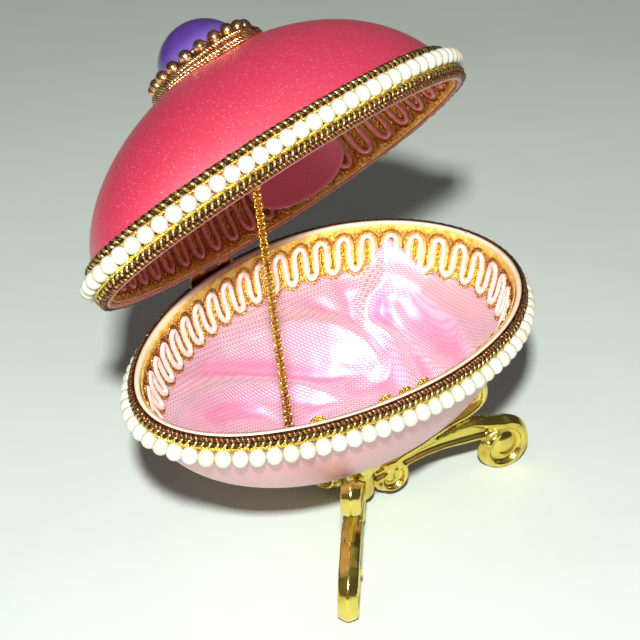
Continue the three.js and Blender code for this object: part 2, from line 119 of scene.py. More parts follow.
# %% The egg's surface and its level lines
HALF_LENGTH, GIRTH, BLUNTNESS = 45.0, 29.0, 0.12
SHELL_WALL = 0.9
RIM_GAP, HINGE_Y, HINGE_Z, LID_OPENING = 0.8, 30.3, 2.2, math.radians(-48)
BOWL, LID = -1, 1


def profile(t, offset=0.0):
    """Distance along the egg and radius at t, out from the surface by offset."""
    dx, dr = -HALF_LENGTH * np.sin(t), GIRTH * (np.cos(t) + BLUNTNESS * np.cos(2 * t))
    length = np.hypot(dx, dr)
    radius = GIRTH * np.sin(t) * (1 + BLUNTNESS * np.cos(t))
    return HALF_LENGTH * np.cos(t) + offset * dr / length, radius - offset * dx / length


def falling_zero(function, low, high):
    """Where a falling function passes zero between low and high, one answer for each entry."""
    low, high = low + 0.0, high + 0.0
    for _ in range(40):
        middle = (low + high) / 2
        over = function(middle) > 0
        low, high = np.where(over, middle, low), np.where(over, high, middle)
    return (low + high) / 2


def rim_points(w, offset, z):
    """Points at height z from the cut, out from the shell by offset; w turns once round the egg."""
    w, offset, z = np.broadcast_arrays(*(np.asarray(a, float) for a in (w, offset, z)))
    nothing, half, whole = np.zeros(w.shape), np.full(w.shape, math.pi / 2), np.full(w.shape, math.pi)
    near = falling_zero(lambda t: np.abs(z) - profile(t, offset)[1], nothing, half)
    far = falling_zero(lambda t: profile(t, offset)[1] - np.abs(z), half, whole)
    x_near, x_far = profile(near, offset)[0], profile(far, offset)[0]
    x = (x_near + x_far) / 2 + (x_near - x_far) / 2 * np.cos(w)
    t = falling_zero(lambda trial: profile(trial, offset)[0] - x, near, far)
    reach = np.sqrt(np.maximum(0, profile(t, offset)[1] ** 2 - z**2))
    return np.stack([x, np.sign(np.sin(w)) * reach, z], -1)


def swung(a, b, angle):
    """A pair of coordinates turned by an angle."""
    return a * math.cos(angle) - b * math.sin(angle), a * math.sin(angle) + b * math.cos(angle)


def place(points, side=BOWL):
    """The maker's millimetres to the scene's metres; the lid's own points are swung open first."""
    points = np.array(points, float).reshape(-1, 3)
    if side == LID:
        y, z = swung(points[:, 1] - HINGE_Y, points[:, 2] + RIM_GAP - HINGE_Z, LID_OPENING)
        points[:, 1], points[:, 2] = HINGE_Y + y, HINGE_Z + z
    return points * MM + EGG_MIDDLE


def even_turns(count, offset, z):
    """Values of w that lie evenly along a level line, and the line's length."""
    fine = np.linspace(0, 2 * math.pi, 1441)
    line = rim_points(fine, offset, z)
    lengths = np.concatenate([[0], np.cumsum(np.linalg.norm(np.diff(line, axis=0), axis=1))])
    shares = np.arange(count) / count
    return np.interp(shares * lengths[-1], lengths, fine), lengths[-1]


print("cut edge is", round(even_turns(8, 0, 0)[1], 1), "mm round")

# %% [markdown]
# ## Helpers
# A few small functions keep the cells short: one makes a mesh object from points and faces, one adds a
# node and wires it, and one grows a piece from a guide with Geometry Nodes and keeps the plain mesh.

# %% Mesh and node helpers
def new_piece(name, points, faces, materials, smooth=True, indices=None, uv=None, marks=None):
    """A mesh object at the origin, with its place in its points."""
    mesh = bpy.data.meshes.new(name)
    mesh.from_pydata(np.asarray(points).tolist(), [], [list(map(int, f)) for f in faces])
    for material in materials:
        mesh.materials.append(material)
    mesh.polygons.foreach_set("use_smooth", [smooth] * len(mesh.polygons))
    if indices is not None:
        mesh.polygons.foreach_set("material_index", np.asarray(indices, np.int32))
    if uv is not None:
        corners = np.empty(len(mesh.loops), np.int32)
        mesh.loops.foreach_get("vertex_index", corners)
        mesh.uv_layers.new(name="cloth").data.foreach_set("uv", np.asarray(uv)[corners].ravel())
    for mark, values in (marks or {}).items():
        mesh.attributes.new(mark, "FLOAT", "POINT").data.foreach_set("value", np.asarray(values, np.float32))
    mesh.update()
    piece = bpy.data.objects.new(name, mesh)
    bpy.context.collection.objects.link(piece)
    return piece


def grid_faces(rows, columns, loop_rows=False, loop_columns=False):
    """Faces between the points of a grid, row by row."""
    row_starts, column_starts = np.arange(rows - (not loop_rows)), np.arange(columns - (not loop_columns))
    i, j = np.meshgrid(row_starts, column_starts, indexing="ij")
    i, j = i.ravel(), j.ravel()
    k, m = (i + 1) % rows, (j + 1) % columns
    return np.stack([i * columns + j, k * columns + j, k * columns + m, i * columns + m], 1)


def node(tree, kind, inputs=None, **settings):
    """Adds a node, sets it, and fills its inputs with values or wires."""
    made = tree.nodes.new(kind)
    for key, value in settings.items():
        setattr(made, key, value)
    for key, value in (inputs or {}).items():
        if isinstance(value, bpy.types.NodeSocket):
            tree.links.new(value, made.inputs[key])
        else:
            made.inputs[key].default_value = value
    return made


def new_tree(name, kind, inputs, outputs):
    """A node tree with named inputs and outputs, each given as {name: (socket kind, default)}."""
    tree = bpy.data.node_groups.new(name, kind)
    for way, sockets in (("INPUT", inputs), ("OUTPUT", outputs)):
        for label, (socket_kind, value) in sockets.items():
            socket = tree.interface.new_socket(label, in_out=way, socket_type="NodeSocket" + socket_kind)
            if value is not None:
                socket.default_value = value
    return tree, tree.nodes.new("NodeGroupInput").outputs, tree.nodes.new("NodeGroupOutput").inputs


def grow(name, tree, points, edges=(), vectors=None, **inputs):
    """Grows a piece on a guide with a Geometry Nodes tree and keeps the result as a plain mesh."""
    guide_mesh = bpy.data.meshes.new(name + "_guide")
    guide_mesh.from_pydata(np.asarray(points).tolist(), [list(map(int, e)) for e in edges], [])
    for key, values in (vectors or {}).items():
        layer = guide_mesh.attributes.new(key, "FLOAT_VECTOR", "POINT")
        layer.data.foreach_set("vector", np.asarray(values, np.float32).ravel())
    guide = bpy.data.objects.new(name + "_guide", guide_mesh)
    bpy.context.collection.objects.link(guide)
    modifier = guide.modifiers.new("grow", "NODES")
    modifier.node_group = tree
    for socket in tree.interface.items_tree:
        if socket.in_out == "INPUT" and socket.name in inputs:
            modifier[socket.identifier] = inputs[socket.name]
    scene_state = bpy.context.evaluated_depsgraph_get()
    mesh = bpy.data.meshes.new_from_object(
        guide.evaluated_get(scene_state), preserve_all_data_layers=True, depsgraph=scene_state
    )
    guide.modifiers.clear()
    bpy.data.objects.remove(guide)
    mesh.name = name
    piece = bpy.data.objects.new(name, mesh)
    bpy.context.collection.objects.link(piece)
    print(name, "has", len(mesh.polygons), "faces")
    return piece


def applied(piece):
    """Bakes a piece's modifiers into its mesh."""
    scene_state = bpy.context.evaluated_depsgraph_get()
    mesh = bpy.data.meshes.new_from_object(
        piece.evaluated_get(scene_state), preserve_all_data_layers=True, depsgraph=scene_state
    )
    piece.modifiers.clear()
    piece.data = mesh
    return piece


def faced_outward(piece, weld=False):
    """Turns every face outward; weld joins points that lie in one place."""
    cage = bmesh.new()
    cage.from_mesh(piece.data)
    if weld:
        bmesh.ops.remove_doubles(cage, verts=cage.verts, dist=1e-7)
    bmesh.ops.recalc_face_normals(cage, faces=cage.faces)
    cage.to_mesh(piece.data)
    cage.free()
    return piece


def thickened(piece, thickness, offset):
    """A sheet given its thickness, in metres."""
    solid = piece.modifiers.new("cloth", "SOLIDIFY")
    solid.thickness, solid.offset = thickness, offset
    return applied(piece)


def smooth_path(points, count):
    """A smooth line through points of any number of columns."""
    points = np.asarray(points, float)
    n = len(points)
    ext = np.vstack([2 * points[0] - points[1], points, 2 * points[-1] - points[-2]])
    u = np.linspace(0, n - 1 - 1e-9, count)
    i, f = np.floor(u).astype(int), (u % 1)[:, None]
    a, b, c, d = ext[i], ext[i + 1], ext[i + 2], ext[i + 3]
    return 0.5 * (2 * b + (c - a) * f + (2 * a - 5 * b + 4 * c - d) * f**2 + (3 * b - a - 3 * c + d) * f**3)


def closed_line(count):
    """Edges that join a ring of points."""
    return [(i, (i + 1) % count) for i in range(count)]


def open_line(count):
    return [(i, i + 1) for i in range(count - 1)]


# %% [markdown]
# ## Growing trees
# Beads, stitches and pearls are one shape set on many points, so one tree instances a stretched sphere
# on a guide's points, turned to two directions stored there.  A second tree spins strands round a line,
# for ropes and wires.  A third sets chain links.  All end in real meshes, because instances do not
# survive an export.

# %% Instances on a guide
def set_on_points(tree, given, shape, **scale):
    """Instances a shape on the guide's points, turned to the two directions stored there."""
    run, outward = (
        node(tree, "GeometryNodeInputNamedAttribute", {"Name": name}, data_type="FLOAT_VECTOR").outputs[0]
        for name in ("run", "outward")
    )
    turned = node(
        tree, "FunctionNodeAxesToRotation", {"Primary Axis": run, "Secondary Axis": outward},
        primary_axis="X", secondary_axis="Z",
    )
    sockets = {"Points": given["Guide"], "Instance": shape, "Rotation": turned.outputs[0], **scale}
    return node(tree, "GeometryNodeInstanceOnPoints", sockets).outputs[0]


def end_as_mesh(tree, geometry, material, out):
    """Ends a tree with real, smooth mesh in one finish."""
    real = node(tree, "GeometryNodeRealizeInstances", {"Geometry": geometry})
    smooth = node(tree, "GeometryNodeSetShadeSmooth", {0: real.outputs[0]})
    dyed = node(tree, "GeometryNodeSetMaterial", {"Geometry": smooth.outputs[0], "Material": material})
    tree.links.new(dyed.outputs[0], out["Mesh"])


# %% Bead tree
bead_tree, given, out = new_tree(
    "beads_on_points",
    "GeometryNodeTree",
    {
        "Guide": ("Geometry", None), "Size": ("Vector", (1, 1, 1)), "Unevenness": ("Float", 0.0),
        "Segments": ("Int", 12), "Seed": ("Int", 1), "Finish": ("Material", None),
    },
    {"Mesh": ("Geometry", None)},
)
ball = node(bead_tree, "GeometryNodeMeshUVSphere", {"Segments": given["Segments"], "Radius": 0.5})
rings = node(bead_tree, "ShaderNodeMath", {0: given["Segments"], 1: 0.6}, operation="MULTIPLY")
bead_tree.links.new(rings.outputs[0], ball.inputs["Rings"])
least = node(bead_tree, "ShaderNodeMath", {0: 1.0, 1: given["Unevenness"]}, operation="SUBTRACT")
most = node(bead_tree, "ShaderNodeMath", {0: 1.0, 1: given["Unevenness"]}, operation="ADD")
chance = node(
    bead_tree, "FunctionNodeRandomValue",
    {2: least.outputs[0], 3: most.outputs[0], "Seed": given["Seed"]}, data_type="FLOAT",
)
sized = {0: given["Size"], "Scale": chance.outputs[1]}
size = node(bead_tree, "ShaderNodeVectorMath", sized, operation="SCALE")
threaded = set_on_points(bead_tree, given, ball.outputs["Mesh"], Scale=size.outputs[0])
shade = node(bead_tree, "FunctionNodeRandomValue", {"Seed": 7}, data_type="FLOAT")
stained = node(
    bead_tree, "GeometryNodeStoreNamedAttribute",
    {"Geometry": threaded, "Name": "shade", "Value": shade.outputs[1]},
    data_type="FLOAT", domain="INSTANCE",
)
end_as_mesh(bead_tree, stained.outputs[0], given["Finish"], out)
print("bead tree has", len(bead_tree.nodes), "nodes")

# %% Rope tree
def rope_tree(name, strands):
    """Strands spun round a guide line; every other strand takes the second finish."""
    tree, given, out = new_tree(
        name,
        "GeometryNodeTree",
        {
            "Guide": ("Geometry", None), "Turns": ("Float", 1.0), "Lay": ("Float", 0.0),
            "Strand": ("Float", 0.001), "Sides": ("Int", 6), "Finish": ("Material", None),
            "Second finish": ("Material", None),
        },
        {"Mesh": ("Geometry", None)},
    )
    line = node(tree, "GeometryNodeMeshToCurve", {0: given["Guide"]}).outputs[0]
    share = node(tree, "GeometryNodeSplineParameter").outputs["Factor"]
    normal = node(tree, "GeometryNodeInputNormal").outputs[0]
    tangent = node(tree, "GeometryNodeInputTangent").outputs[0]
    across = node(tree, "ShaderNodeVectorMath", {0: tangent, 1: normal}, operation="CROSS_PRODUCT").outputs[0]
    turns = node(tree, "ShaderNodeMath", {0: given["Turns"], 1: 2 * math.pi}, operation="MULTIPLY").outputs[0]
    ring = {"Resolution": given["Sides"], "Radius": given["Strand"]}
    wire = node(tree, "GeometryNodeCurvePrimitiveCircle", ring)
    together = node(tree, "GeometryNodeJoinGeometry")
    for strand in range(strands):
        phase = 2 * math.pi * strand / strands
        twist = {0: share, 1: turns, 2: phase}
        angle = node(tree, "ShaderNodeMath", twist, operation="MULTIPLY_ADD").outputs[0]
        parts = []
        for side, wave in ((normal, "COSINE"), (across, "SINE")):
            swing = node(tree, "ShaderNodeMath", {0: angle}, operation=wave).outputs[0]
            reach = node(tree, "ShaderNodeMath", {0: swing, 1: given["Lay"]}, operation="MULTIPLY").outputs[0]
            swayed = node(tree, "ShaderNodeVectorMath", {0: side, "Scale": reach}, operation="SCALE")
            parts.append(swayed.outputs[0])
        aside = node(tree, "ShaderNodeVectorMath", {0: parts[0], 1: parts[1]}, operation="ADD").outputs[0]
        moved = node(tree, "GeometryNodeSetPosition", {"Geometry": line, "Offset": aside}).outputs[0]
        skin = node(
            tree, "GeometryNodeCurveToMesh",
            {"Curve": moved, "Profile Curve": wire.outputs["Curve"], "Fill Caps": True},
        ).outputs[0]
        finish = given["Second finish" if strand % 2 else "Finish"]
        dyed = node(tree, "GeometryNodeSetMaterial", {"Geometry": skin, "Material": finish}).outputs[0]
        tree.links.new(dyed, together.inputs[0])
    smooth = node(tree, "GeometryNodeSetShadeSmooth", {0: together.outputs[0]}).outputs[0]
    tree.links.new(node(tree, "GeometryNodeRealizeInstances", {"Geometry": smooth}).outputs[0], out["Mesh"])
    return tree


single_cord = rope_tree("single_cord", 1)
two_ply = rope_tree("two_ply_rope", 2)
three_ply = rope_tree("three_ply_rope", 3)
print("rope trees:", single_cord.name, two_ply.name, three_ply.name)

# %% Chain tree
link_tree, given, out = new_tree(
    "links_on_points",
    "GeometryNodeTree",
    {
        "Guide": ("Geometry", None), "Link length": ("Float", 0.001), "Link width": ("Float", 0.001),
        "Wire": ("Float", 0.0002), "Finish": ("Material", None),
    },
    {"Mesh": ("Geometry", None)},
)
loop = node(link_tree, "GeometryNodeCurvePrimitiveCircle", {"Resolution": 14, "Radius": 0.5})
shape = node(link_tree, "ShaderNodeCombineXYZ", {0: given["Link length"], 1: given["Link width"], 2: 1.0})
stretched = {"Geometry": loop.outputs["Curve"], "Scale": shape.outputs[0]}
oval = node(link_tree, "GeometryNodeTransform", stretched)
wire = node(link_tree, "GeometryNodeCurvePrimitiveCircle", {"Resolution": 7, "Radius": given["Wire"]})
bent = {"Curve": oval.outputs[0], "Profile Curve": wire.outputs["Curve"]}
link = node(link_tree, "GeometryNodeCurveToMesh", bent)
hung = set_on_points(link_tree, given, link.outputs[0])
end_as_mesh(link_tree, hung, given["Finish"], out)
print("link tree has", len(link_tree.nodes), "nodes")

# %% [markdown]
# ## Effects that several finishes share
# Lacquer, satin and gilding each have a fine grain.  Each effect is a shader group with named inputs:
# specks of mica, a woven net, and worn, cloudy metal.  The groups give out masks and heights only; the
# shader itself stays in each material.

# %% Specks of mica
specks, given, out = new_tree(
    "mica_specks", "ShaderNodeTree",
    {"Scale": ("Float", 2500.0), "Amount": ("Float", 0.2)},
    {"Mask": ("Float", None), "Cloud": ("Float", None)},
)
where = node(specks, "ShaderNodeTexCoord").outputs["Object"]
grains = node(specks, "ShaderNodeTexVoronoi", {"Vector": where, "Scale": given["Scale"]}, feature="F1")
lone = node(specks, "ShaderNodeSeparateColor", {0: grains.outputs["Color"]})
chosen = node(specks, "ShaderNodeMath", {0: lone.outputs[0], 1: given["Amount"]}, operation="LESS_THAN")
small = node(specks, "ShaderNodeMath", {0: grains.outputs["Distance"], 1: 0.3}, operation="LESS_THAN")
mask = node(specks, "ShaderNodeMath", {0: chosen.outputs[0], 1: small.outputs[0]}, operation="MULTIPLY")
specks.links.new(mask.outputs[0], out["Mask"])
cloud = node(specks, "ShaderNodeTexNoise", {"Vector": where, "Scale": 60.0, "Detail": 3.0})
specks.links.new(cloud.outputs[0], out["Cloud"])

# %% Woven net
weave, given, out = new_tree(
    "woven_net", "ShaderNodeTree",
    {"Cell": ("Float", 1.0), "Gap": ("Float", 0.1)}, {"Gaps": ("Float", None)},
)
where = node(weave, "ShaderNodeUVMap", uv_map="cloth").outputs[0]
bricks = node(
    weave, "ShaderNodeTexBrick",
    {
        "Vector": where, "Scale": given["Cell"], "Mortar Size": given["Gap"], "Mortar Smooth": 0.6,
        "Brick Width": 1.0, "Row Height": 0.5,
    },
)
weave.links.new(bricks.outputs["Fac"], out["Gaps"])

# %% Cloudy metal
tarnish, given, out = new_tree(
    "cloudy_metal", "ShaderNodeTree",
    {"Scale": ("Float", 300.0), "Start": ("Float", 0.5), "End": ("Float", 0.7)},
    {"Mask": ("Float", None), "Height": ("Float", None)},
)
where = node(tarnish, "ShaderNodeTexCoord").outputs["Object"]
fine = {"Vector": where, "Scale": given["Scale"], "Detail": 4.0, "Roughness": 0.6}
cloud = node(tarnish, "ShaderNodeTexNoise", fine)
band = node(
    tarnish, "ShaderNodeMapRange",
    {"Value": cloud.outputs[0], "From Min": given["Start"], "From Max": given["End"]},
    interpolation_type="SMOOTHSTEP",
)
tarnish.links.new(band.outputs[0], out["Mask"])
tarnish.links.new(cloud.outputs[0], out["Height"])
print("shared effects:", specks.name, weave.name, tarnish.name)


# %% Material helpers
def rgb(red, green, blue):
    """A screen colour from 0 to 255 as the light it stands for."""
    shares = [c / 255 for c in (red, green, blue)]
    return (*(c / 12.92 if c <= 0.04 else ((c + 0.055) / 1.055) ** 2.4 for c in shares), 1.0)


def finish(name, color, roughness, metallic=0.0, **sockets):
    """A material with one Principled shader; further sockets are set by name, with _ for a space."""
    material = bpy.data.materials.new(name)
    material.use_nodes = True
    tree = material.node_tree
    shader = tree.nodes["Principled BSDF"]
    shader.inputs["Base Color"].default_value = color
    shader.inputs["Roughness"].default_value = roughness
    shader.inputs["Metallic"].default_value = metallic
    for key, value in sockets.items():
        shader.inputs[key.replace("_", " ")].default_value = value
    return material, tree, shader


def effect(tree, group, **inputs):
    """Places a shared effect in a material."""
    made = node(tree, "ShaderNodeGroup", node_tree=group)
    for key, value in inputs.items():
        made.inputs[key].default_value = value
    return made.outputs


def blend_colors(tree, factor, first, second):
    """One colour turning into another by a mask."""
    mix = node(tree, "ShaderNodeMix", data_type="RGBA")
    for index, value in ((0, factor), (6, first), (7, second)):
        if isinstance(value, bpy.types.NodeSocket):
            tree.links.new(value, mix.inputs[index])
        else:
            mix.inputs[index].default_value = value
    return mix.outputs[2]


def bump(tree, shader, height, strength, distance):
    """Roughens a surface's light by a height, in metres."""
    made = node(tree, "ShaderNodeBump", {"Height": height, "Strength": strength, "Distance": distance})
    tree.links.new(made.outputs[0], shader.inputs["Normal"])


def worn_finish(name, plain, bright, dull, roughness, metallic, patches, relief=None, **sockets):
    """A finish that turns from bright to dull in cloudy patches, given by their scale, start and end."""
    material, tree, shader = finish(name, plain, roughness, metallic, **sockets)
    worn = effect(tree, tarnish, **dict(zip(("Scale", "Start", "End"), patches)))
    tree.links.new(blend_colors(tree, worn["Mask"], bright, dull), shader.inputs["Base Color"])
    if relief:
        bump(tree, shader, worn["Height"], *relief)
    return material


# %% [markdown]
# ## Lacquered shells
# Each half is real eggshell under pearly lacquer: crimson on the lid, pale mauve pink on the bowl.  The
# shell has its true wall, smooth in close steps, and the wall's inside, seen as a bare band above the
# gimp, is a paler coat.  Fine mica specks and a hard clear coat give the lacquer its look.

# %% Lacquer
def lacquer(name, deep, light, speck, amount):
    material, tree, shader = finish(
        name, deep, 0.5, 0.2, Coat_Weight=1.0, Coat_Roughness=0.45, Coat_IOR=2.9, Specular_IOR_Level=0.4,
    )
    mica = effect(tree, specks, Scale=5200.0, Amount=amount)
    body = blend_colors(tree, mica["Cloud"], deep, light)
    tree.links.new(blend_colors(tree, mica["Mask"], body, speck), shader.inputs["Base Color"])
    bump(tree, shader, mica["Mask"], 0.15, 0.00002)
    return material


crimson = lacquer("crimson_pearl_lacquer", rgb(216, 14, 66), rgb(226, 34, 86), rgb(255, 205, 215), 0.10)
mauve = lacquer("mauve_pearl_lacquer", rgb(196, 116, 130), rgb(212, 144, 154), rgb(240, 205, 210), 0.04)


def inner_coat(name, color):
    """The plain coat of a shell's inner wall, darker in patches."""
    darker = (*(c * 0.8 for c in color[:3]), 1.0)
    return worn_finish(
        name, color, color, darker, 0.45, 0.0, (500.0, 0.4, 0.8), (0.2, 0.0001), Coat_Weight=0.3,
    )


cream = inner_coat("cream_inner_coat", rgb(248, 226, 196))
blush = inner_coat("blush_inner_coat", rgb(206, 138, 112))


# %% Half shells
def half_shell(name, side, outside, inside):
    """Half the egg with its wall: outer skin, cut edge and inner skin."""
    stations, steps = 140, 72
    t = np.linspace(0.004, math.pi - 0.004, stations)[:, None]
    v = np.linspace(0, math.pi, steps)[None, :] * side
    skins = []
    for offset in (0.0, -SHELL_WALL):
        x, r = profile(t, offset)
        skins.append(np.stack([x + 0 * v, r * np.cos(v), r * np.sin(v)], -1))
    section = np.concatenate([skins[0], skins[1][:, ::-1]], 1)
    columns = 2 * steps
    faces = grid_faces(stations, columns, loop_columns=True).tolist()
    kinds = [0 if f[0] % columns < steps - 1 else 1 for f in faces]
    points = section.reshape(-1, 3)
    for row, order in ((0, 1), (stations - 1, -1)):
        tip = [row * columns + j for j in range(columns)]
        faces.append(tip[::order])
        kinds.append(0)
    if side == LID:
        faces = [f[::-1] for f in faces]
    return new_piece(name, place(points, side), faces, [outside, inside], indices=kinds)


bowl_skin = half_shell("bowl_lacquer", BOWL, mauve, cream)
lid_skin = half_shell("lid_lacquer", LID, crimson, blush)
for skin, body, cad in ((bowl_skin, "box", "bowl_shell"), (lid_skin, "lid", "lid_shell")):
    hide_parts(cad)
    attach(skin, body)
print("shells made with", len(bowl_skin.data.polygons), "faces each")

# %% [markdown]
# ## Pearls
# Imitation pearls are glass or plastic beads of one size on a thread.  They sit side by side on a level
# line round each half, so the bead tree sets a ball on each evenly spaced point.  The skin is a soft
# cream body under a clear coat, a shade different from pearl to pearl.

# %% Pearl finish
pearl, tree, shader = finish(
    "cream_pearl", rgb(232, 224, 200), 0.3, 0.0, Coat_Weight=0.8, Coat_Roughness=0.12, Specular_IOR_Level=0.6,
    Subsurface_Weight=0.1, Subsurface_Scale=0.0006,
)
lot = node(tree, "ShaderNodeAttribute", attribute_name="shade").outputs["Fac"]
tree.links.new(blend_colors(tree, lot, rgb(214, 218, 208), rgb(206, 202, 180)), shader.inputs["Base Color"])
print("pearl finish:", pearl.name)


# %% Strings of pearls
def level_frames(w, offset, z):
    """For points along a level line: the way the line runs, and the way out from the shell."""
    step = 0.002
    here = rim_points(w, offset, z)
    run = rim_points(w + step, offset, z) - rim_points(w - step, offset, z)
    run /= np.linalg.norm(run, axis=1)[:, None]
    outward = rim_points(w, offset + 0.5, z) - here
    outward -= run * (outward * run).sum(1)[:, None]
    return here, run, outward / np.linalg.norm(outward, axis=1)[:, None]


def directions(vectors, side):
    """Directions turned with the lid."""
    return (place(vectors, side) - place([[0, 0, 0]], side)) / MM


def bead_row(name, side, count, offset, height, size, **more):
    """Beads on a level line of one half."""
    z = side * height
    here, run, outward = level_frames(even_turns(count, offset, z)[0], offset, z)
    return grow(
        name, bead_tree, place(here, side),
        vectors={"run": directions(run, side), "outward": directions(outward, side)},
        Size=[x * MM for x in size], **more,
    )


PEARLS, PEARL_HEIGHT, PEARL_OUT = 82, 4.0, 1.62
PEARL_SIZE = 3.0 * np.array([1.02, 1.10, 1.08])  # along the thread, and across it
for side, body, cad in ((BOWL, "box", "bowl_pearls"), (LID, "lid", "lid_pearls")):
    row = bead_row(
        cad + "_round", side, PEARLS, PEARL_OUT, PEARL_HEIGHT, PEARL_SIZE, Finish=pearl, Seed=3, Segments=20,
        Unevenness=0.015,
    )
    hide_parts(cad)
    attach(row, body)

# %% [markdown]
# ## Gold braid
# A flat braid hides each cut edge.  It is two ropes laid side by side, one of copper and one of gold
# thread, each spun with dark thread, so dark lozenges show between.  The rope tree spins the strands;
# opposite turns on neighbouring ropes give chevrons.  A yellow gold thread runs against the pearls.

# %% Thread finishes
gold_thread = worn_finish(
    "gold_thread", rgb(240, 206, 116), rgb(255, 226, 142), rgb(168, 118, 48),
    0.28, 0.9, (1400.0, 0.35, 0.7), (0.5, 0.0001),
)
dark_thread = worn_finish(
    "dark_thread", rgb(52, 34, 20), rgb(38, 24, 16), rgb(120, 78, 34),
    0.4, 0.5, (1400.0, 0.45, 0.75), (0.5, 0.0001),
)
copper_thread = worn_finish(
    "copper_thread", rgb(196, 122, 70), rgb(214, 146, 88), rgb(112, 58, 30),
    0.35, 0.8, (1400.0, 0.35, 0.7), (0.5, 0.0001),
)
yellow_thread = worn_finish(
    "yellow_thread", rgb(252, 222, 96), rgb(255, 232, 110), rgb(214, 160, 40),
    0.3, 0.85, (1800.0, 0.4, 0.7), (0.6, 0.0001),
)


# %% Ropes round the rim
def rope_round(
    name, tree, side, offset, height, lay, strand, pitch, gap=0.0, steps=12, first=gold_thread,
    second=dark_thread,
):
    """A rope on a level line, spun once each pitch; gap leaves it open behind, either side of the hinge."""
    z = side * height
    length = even_turns(8, offset, z)[1]
    turns = round(length / abs(pitch))
    count = turns * steps
    w, _ = even_turns(count, offset, z)
    wander = 0.05 * np.sin(41 * w + 2.2 * np.sin(17 * w)) + 0.04 * np.sin(97 * w + 5 * height)
    points = rim_points(w, offset + wander, z + 0.8 * wander[::-1])
    edges = closed_line(count)
    if gap:
        kept = np.nonzero(~((points[:, 1] > 0) & (np.abs(points[:, 0]) < gap)))[0]
        cut = int(np.argmax(np.diff(kept))) + 1
        kept = np.concatenate([kept[cut:], kept[:cut]])
        points, edges = points[kept], open_line(len(kept))
        turns = turns * len(kept) / count
    return grow(
        name, tree, place(points, side), edges,
        **{
            "Turns": float(math.copysign(turns, pitch)), "Lay": lay * MM, "Strand": strand * MM, "Sides": 5,
            "Finish": first, "Second finish": second,
        },
    )


def edge_tape(name, side, inner, outer, low, high, gap, material):
    """The braid's flat core: a closed strip round the rim."""
    section = [(inner, low), (outer, low), (outer, high), (inner, high)]
    w = np.linspace(0, 2 * math.pi, 361)[:-1]
    if gap:
        half = math.asin(gap / HALF_LENGTH)
        w = np.linspace(math.pi / 2 + half, math.pi * 2.5 - half, 340)
    rings = np.stack([rim_points(w, offset, side * z) for offset, z in section], 1)
    faces = grid_faces(len(w), 4, loop_rows=not gap, loop_columns=True).tolist()
    if gap:
        faces += [[0, 1, 2, 3], [4 * len(w) - k for k in (1, 2, 3, 4)]]
    if side == BOWL:
        faces = [f[::-1] for f in faces]
    return new_piece(name, place(rings, side), [f[::-1] for f in faces], [material], smooth=False)


HINGE_GAP = 7.0
PLAIN = {"steps": 8, "first": yellow_thread, "second": yellow_thread}
HALVES = ((BOWL, "box", "bowl"), (LID, "lid", "lid"))
for side, body, word in HALVES:
    core = edge_tape(word + "_braid_core", side, 0.05, 0.55, 0.05, 2.3, HINGE_GAP, dark_thread)
    ropes = [
        rope_round(
            word + "_edge_rope", two_ply, side, 0.62, 0.5, 0.26, 0.28, 0.9, HINGE_GAP, first=copper_thread,
        ),
        rope_round(word + "_inner_rope", two_ply, side, 0.82, 1.5, 0.32, 0.32, -1.3, HINGE_GAP),
        rope_round(word + "_pearl_thread", two_ply, side, 0.72, 2.45, 0.26, 0.27, 1.1, HINGE_GAP, **PLAIN),
    ]
    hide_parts(word + "_edge_braid")
    for part in [core, *ropes]:
        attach(part, body)

top_core = edge_tape("lid_top_braid_core", LID, 0.02, 0.4, 5.75, 7.25, 0, dark_thread)
top_rope = rope_round("lid_top_rope", two_ply, LID, 0.55, 6.55, 0.4, 0.42, 1.5)
top_thread = rope_round("lid_top_thread", two_ply, LID, 0.6, 5.5, 0.2, 0.22, 1.1, **PLAIN)
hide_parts("lid_top_braid")
for part in (top_core, top_rope, top_thread):
    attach(part, "lid")

# %% [markdown]
# ## Gimp braid inside the rims
# Gimp is a satin covered cord laid in serpentine loops on crinkled gold tape, with a fine gold wire round
# each loop.  The loops follow one rule, so a formula gives the cord's middle line on the wall, and the
# rope tree gives it its thickness.

# %% Gimp finishes
def gimp_cord(name, light, shade_color):
    """The satin cover of a gimp cord."""
    return worn_finish(
        name, light, light, shade_color, 0.38, 0.0, (900.0, 0.4, 0.75), (0.35, 0.0002),
        Sheen_Weight=0.5, Sheen_Roughness=0.4, Coat_Weight=0.2,
    )


white_pink_cord = gimp_cord("white_pink_cord", rgb(250, 222, 212), rgb(240, 192, 178))
copper_pink_cord = gimp_cord("copper_pink_cord", rgb(240, 172, 164), rgb(214, 130, 112))
gold_tape = worn_finish(
    "crinkled_gold_tape", rgb(252, 214, 96), rgb(255, 240, 140), rgb(250, 192, 60),
    0.34, 0.2, (900.0, 0.35, 0.65), (1.0, 0.0006),
)
wire_gold = worn_finish(
    "dark_gold_wire", rgb(190, 130, 44), rgb(240, 190, 84), rgb(150, 92, 34), 0.25, 1.0, (2000.0, 0.4, 0.7),
)

# %% Loops on the wall
GIMP_TOP, GIMP_BOTTOM, CORD = 1.9, 9.6, 1.0
GIMP_LOOPS, LOOP_BULGE, WIRE_TURNS = 44, 0.085, 14  # the turns are for each loop
WIRES = ((1.2, 0.14, copper_thread), (-1.0, 0.15, yellow_thread))  # beside the cord, thickness, second thread
TAPE_STEPS = 700


def on_wall(share, height, offset, side):
    """A point on a half's inner wall: share of the way round, height from the cut, offset from the skin."""
    table_w, _ = even_turns(721, -2.0, side * 6.0)
    w = np.interp(np.mod(share, 1.0), np.linspace(0, 1, 722), np.append(table_w, 2 * math.pi))
    return rim_points(w, offset, side * np.asarray(height, float))


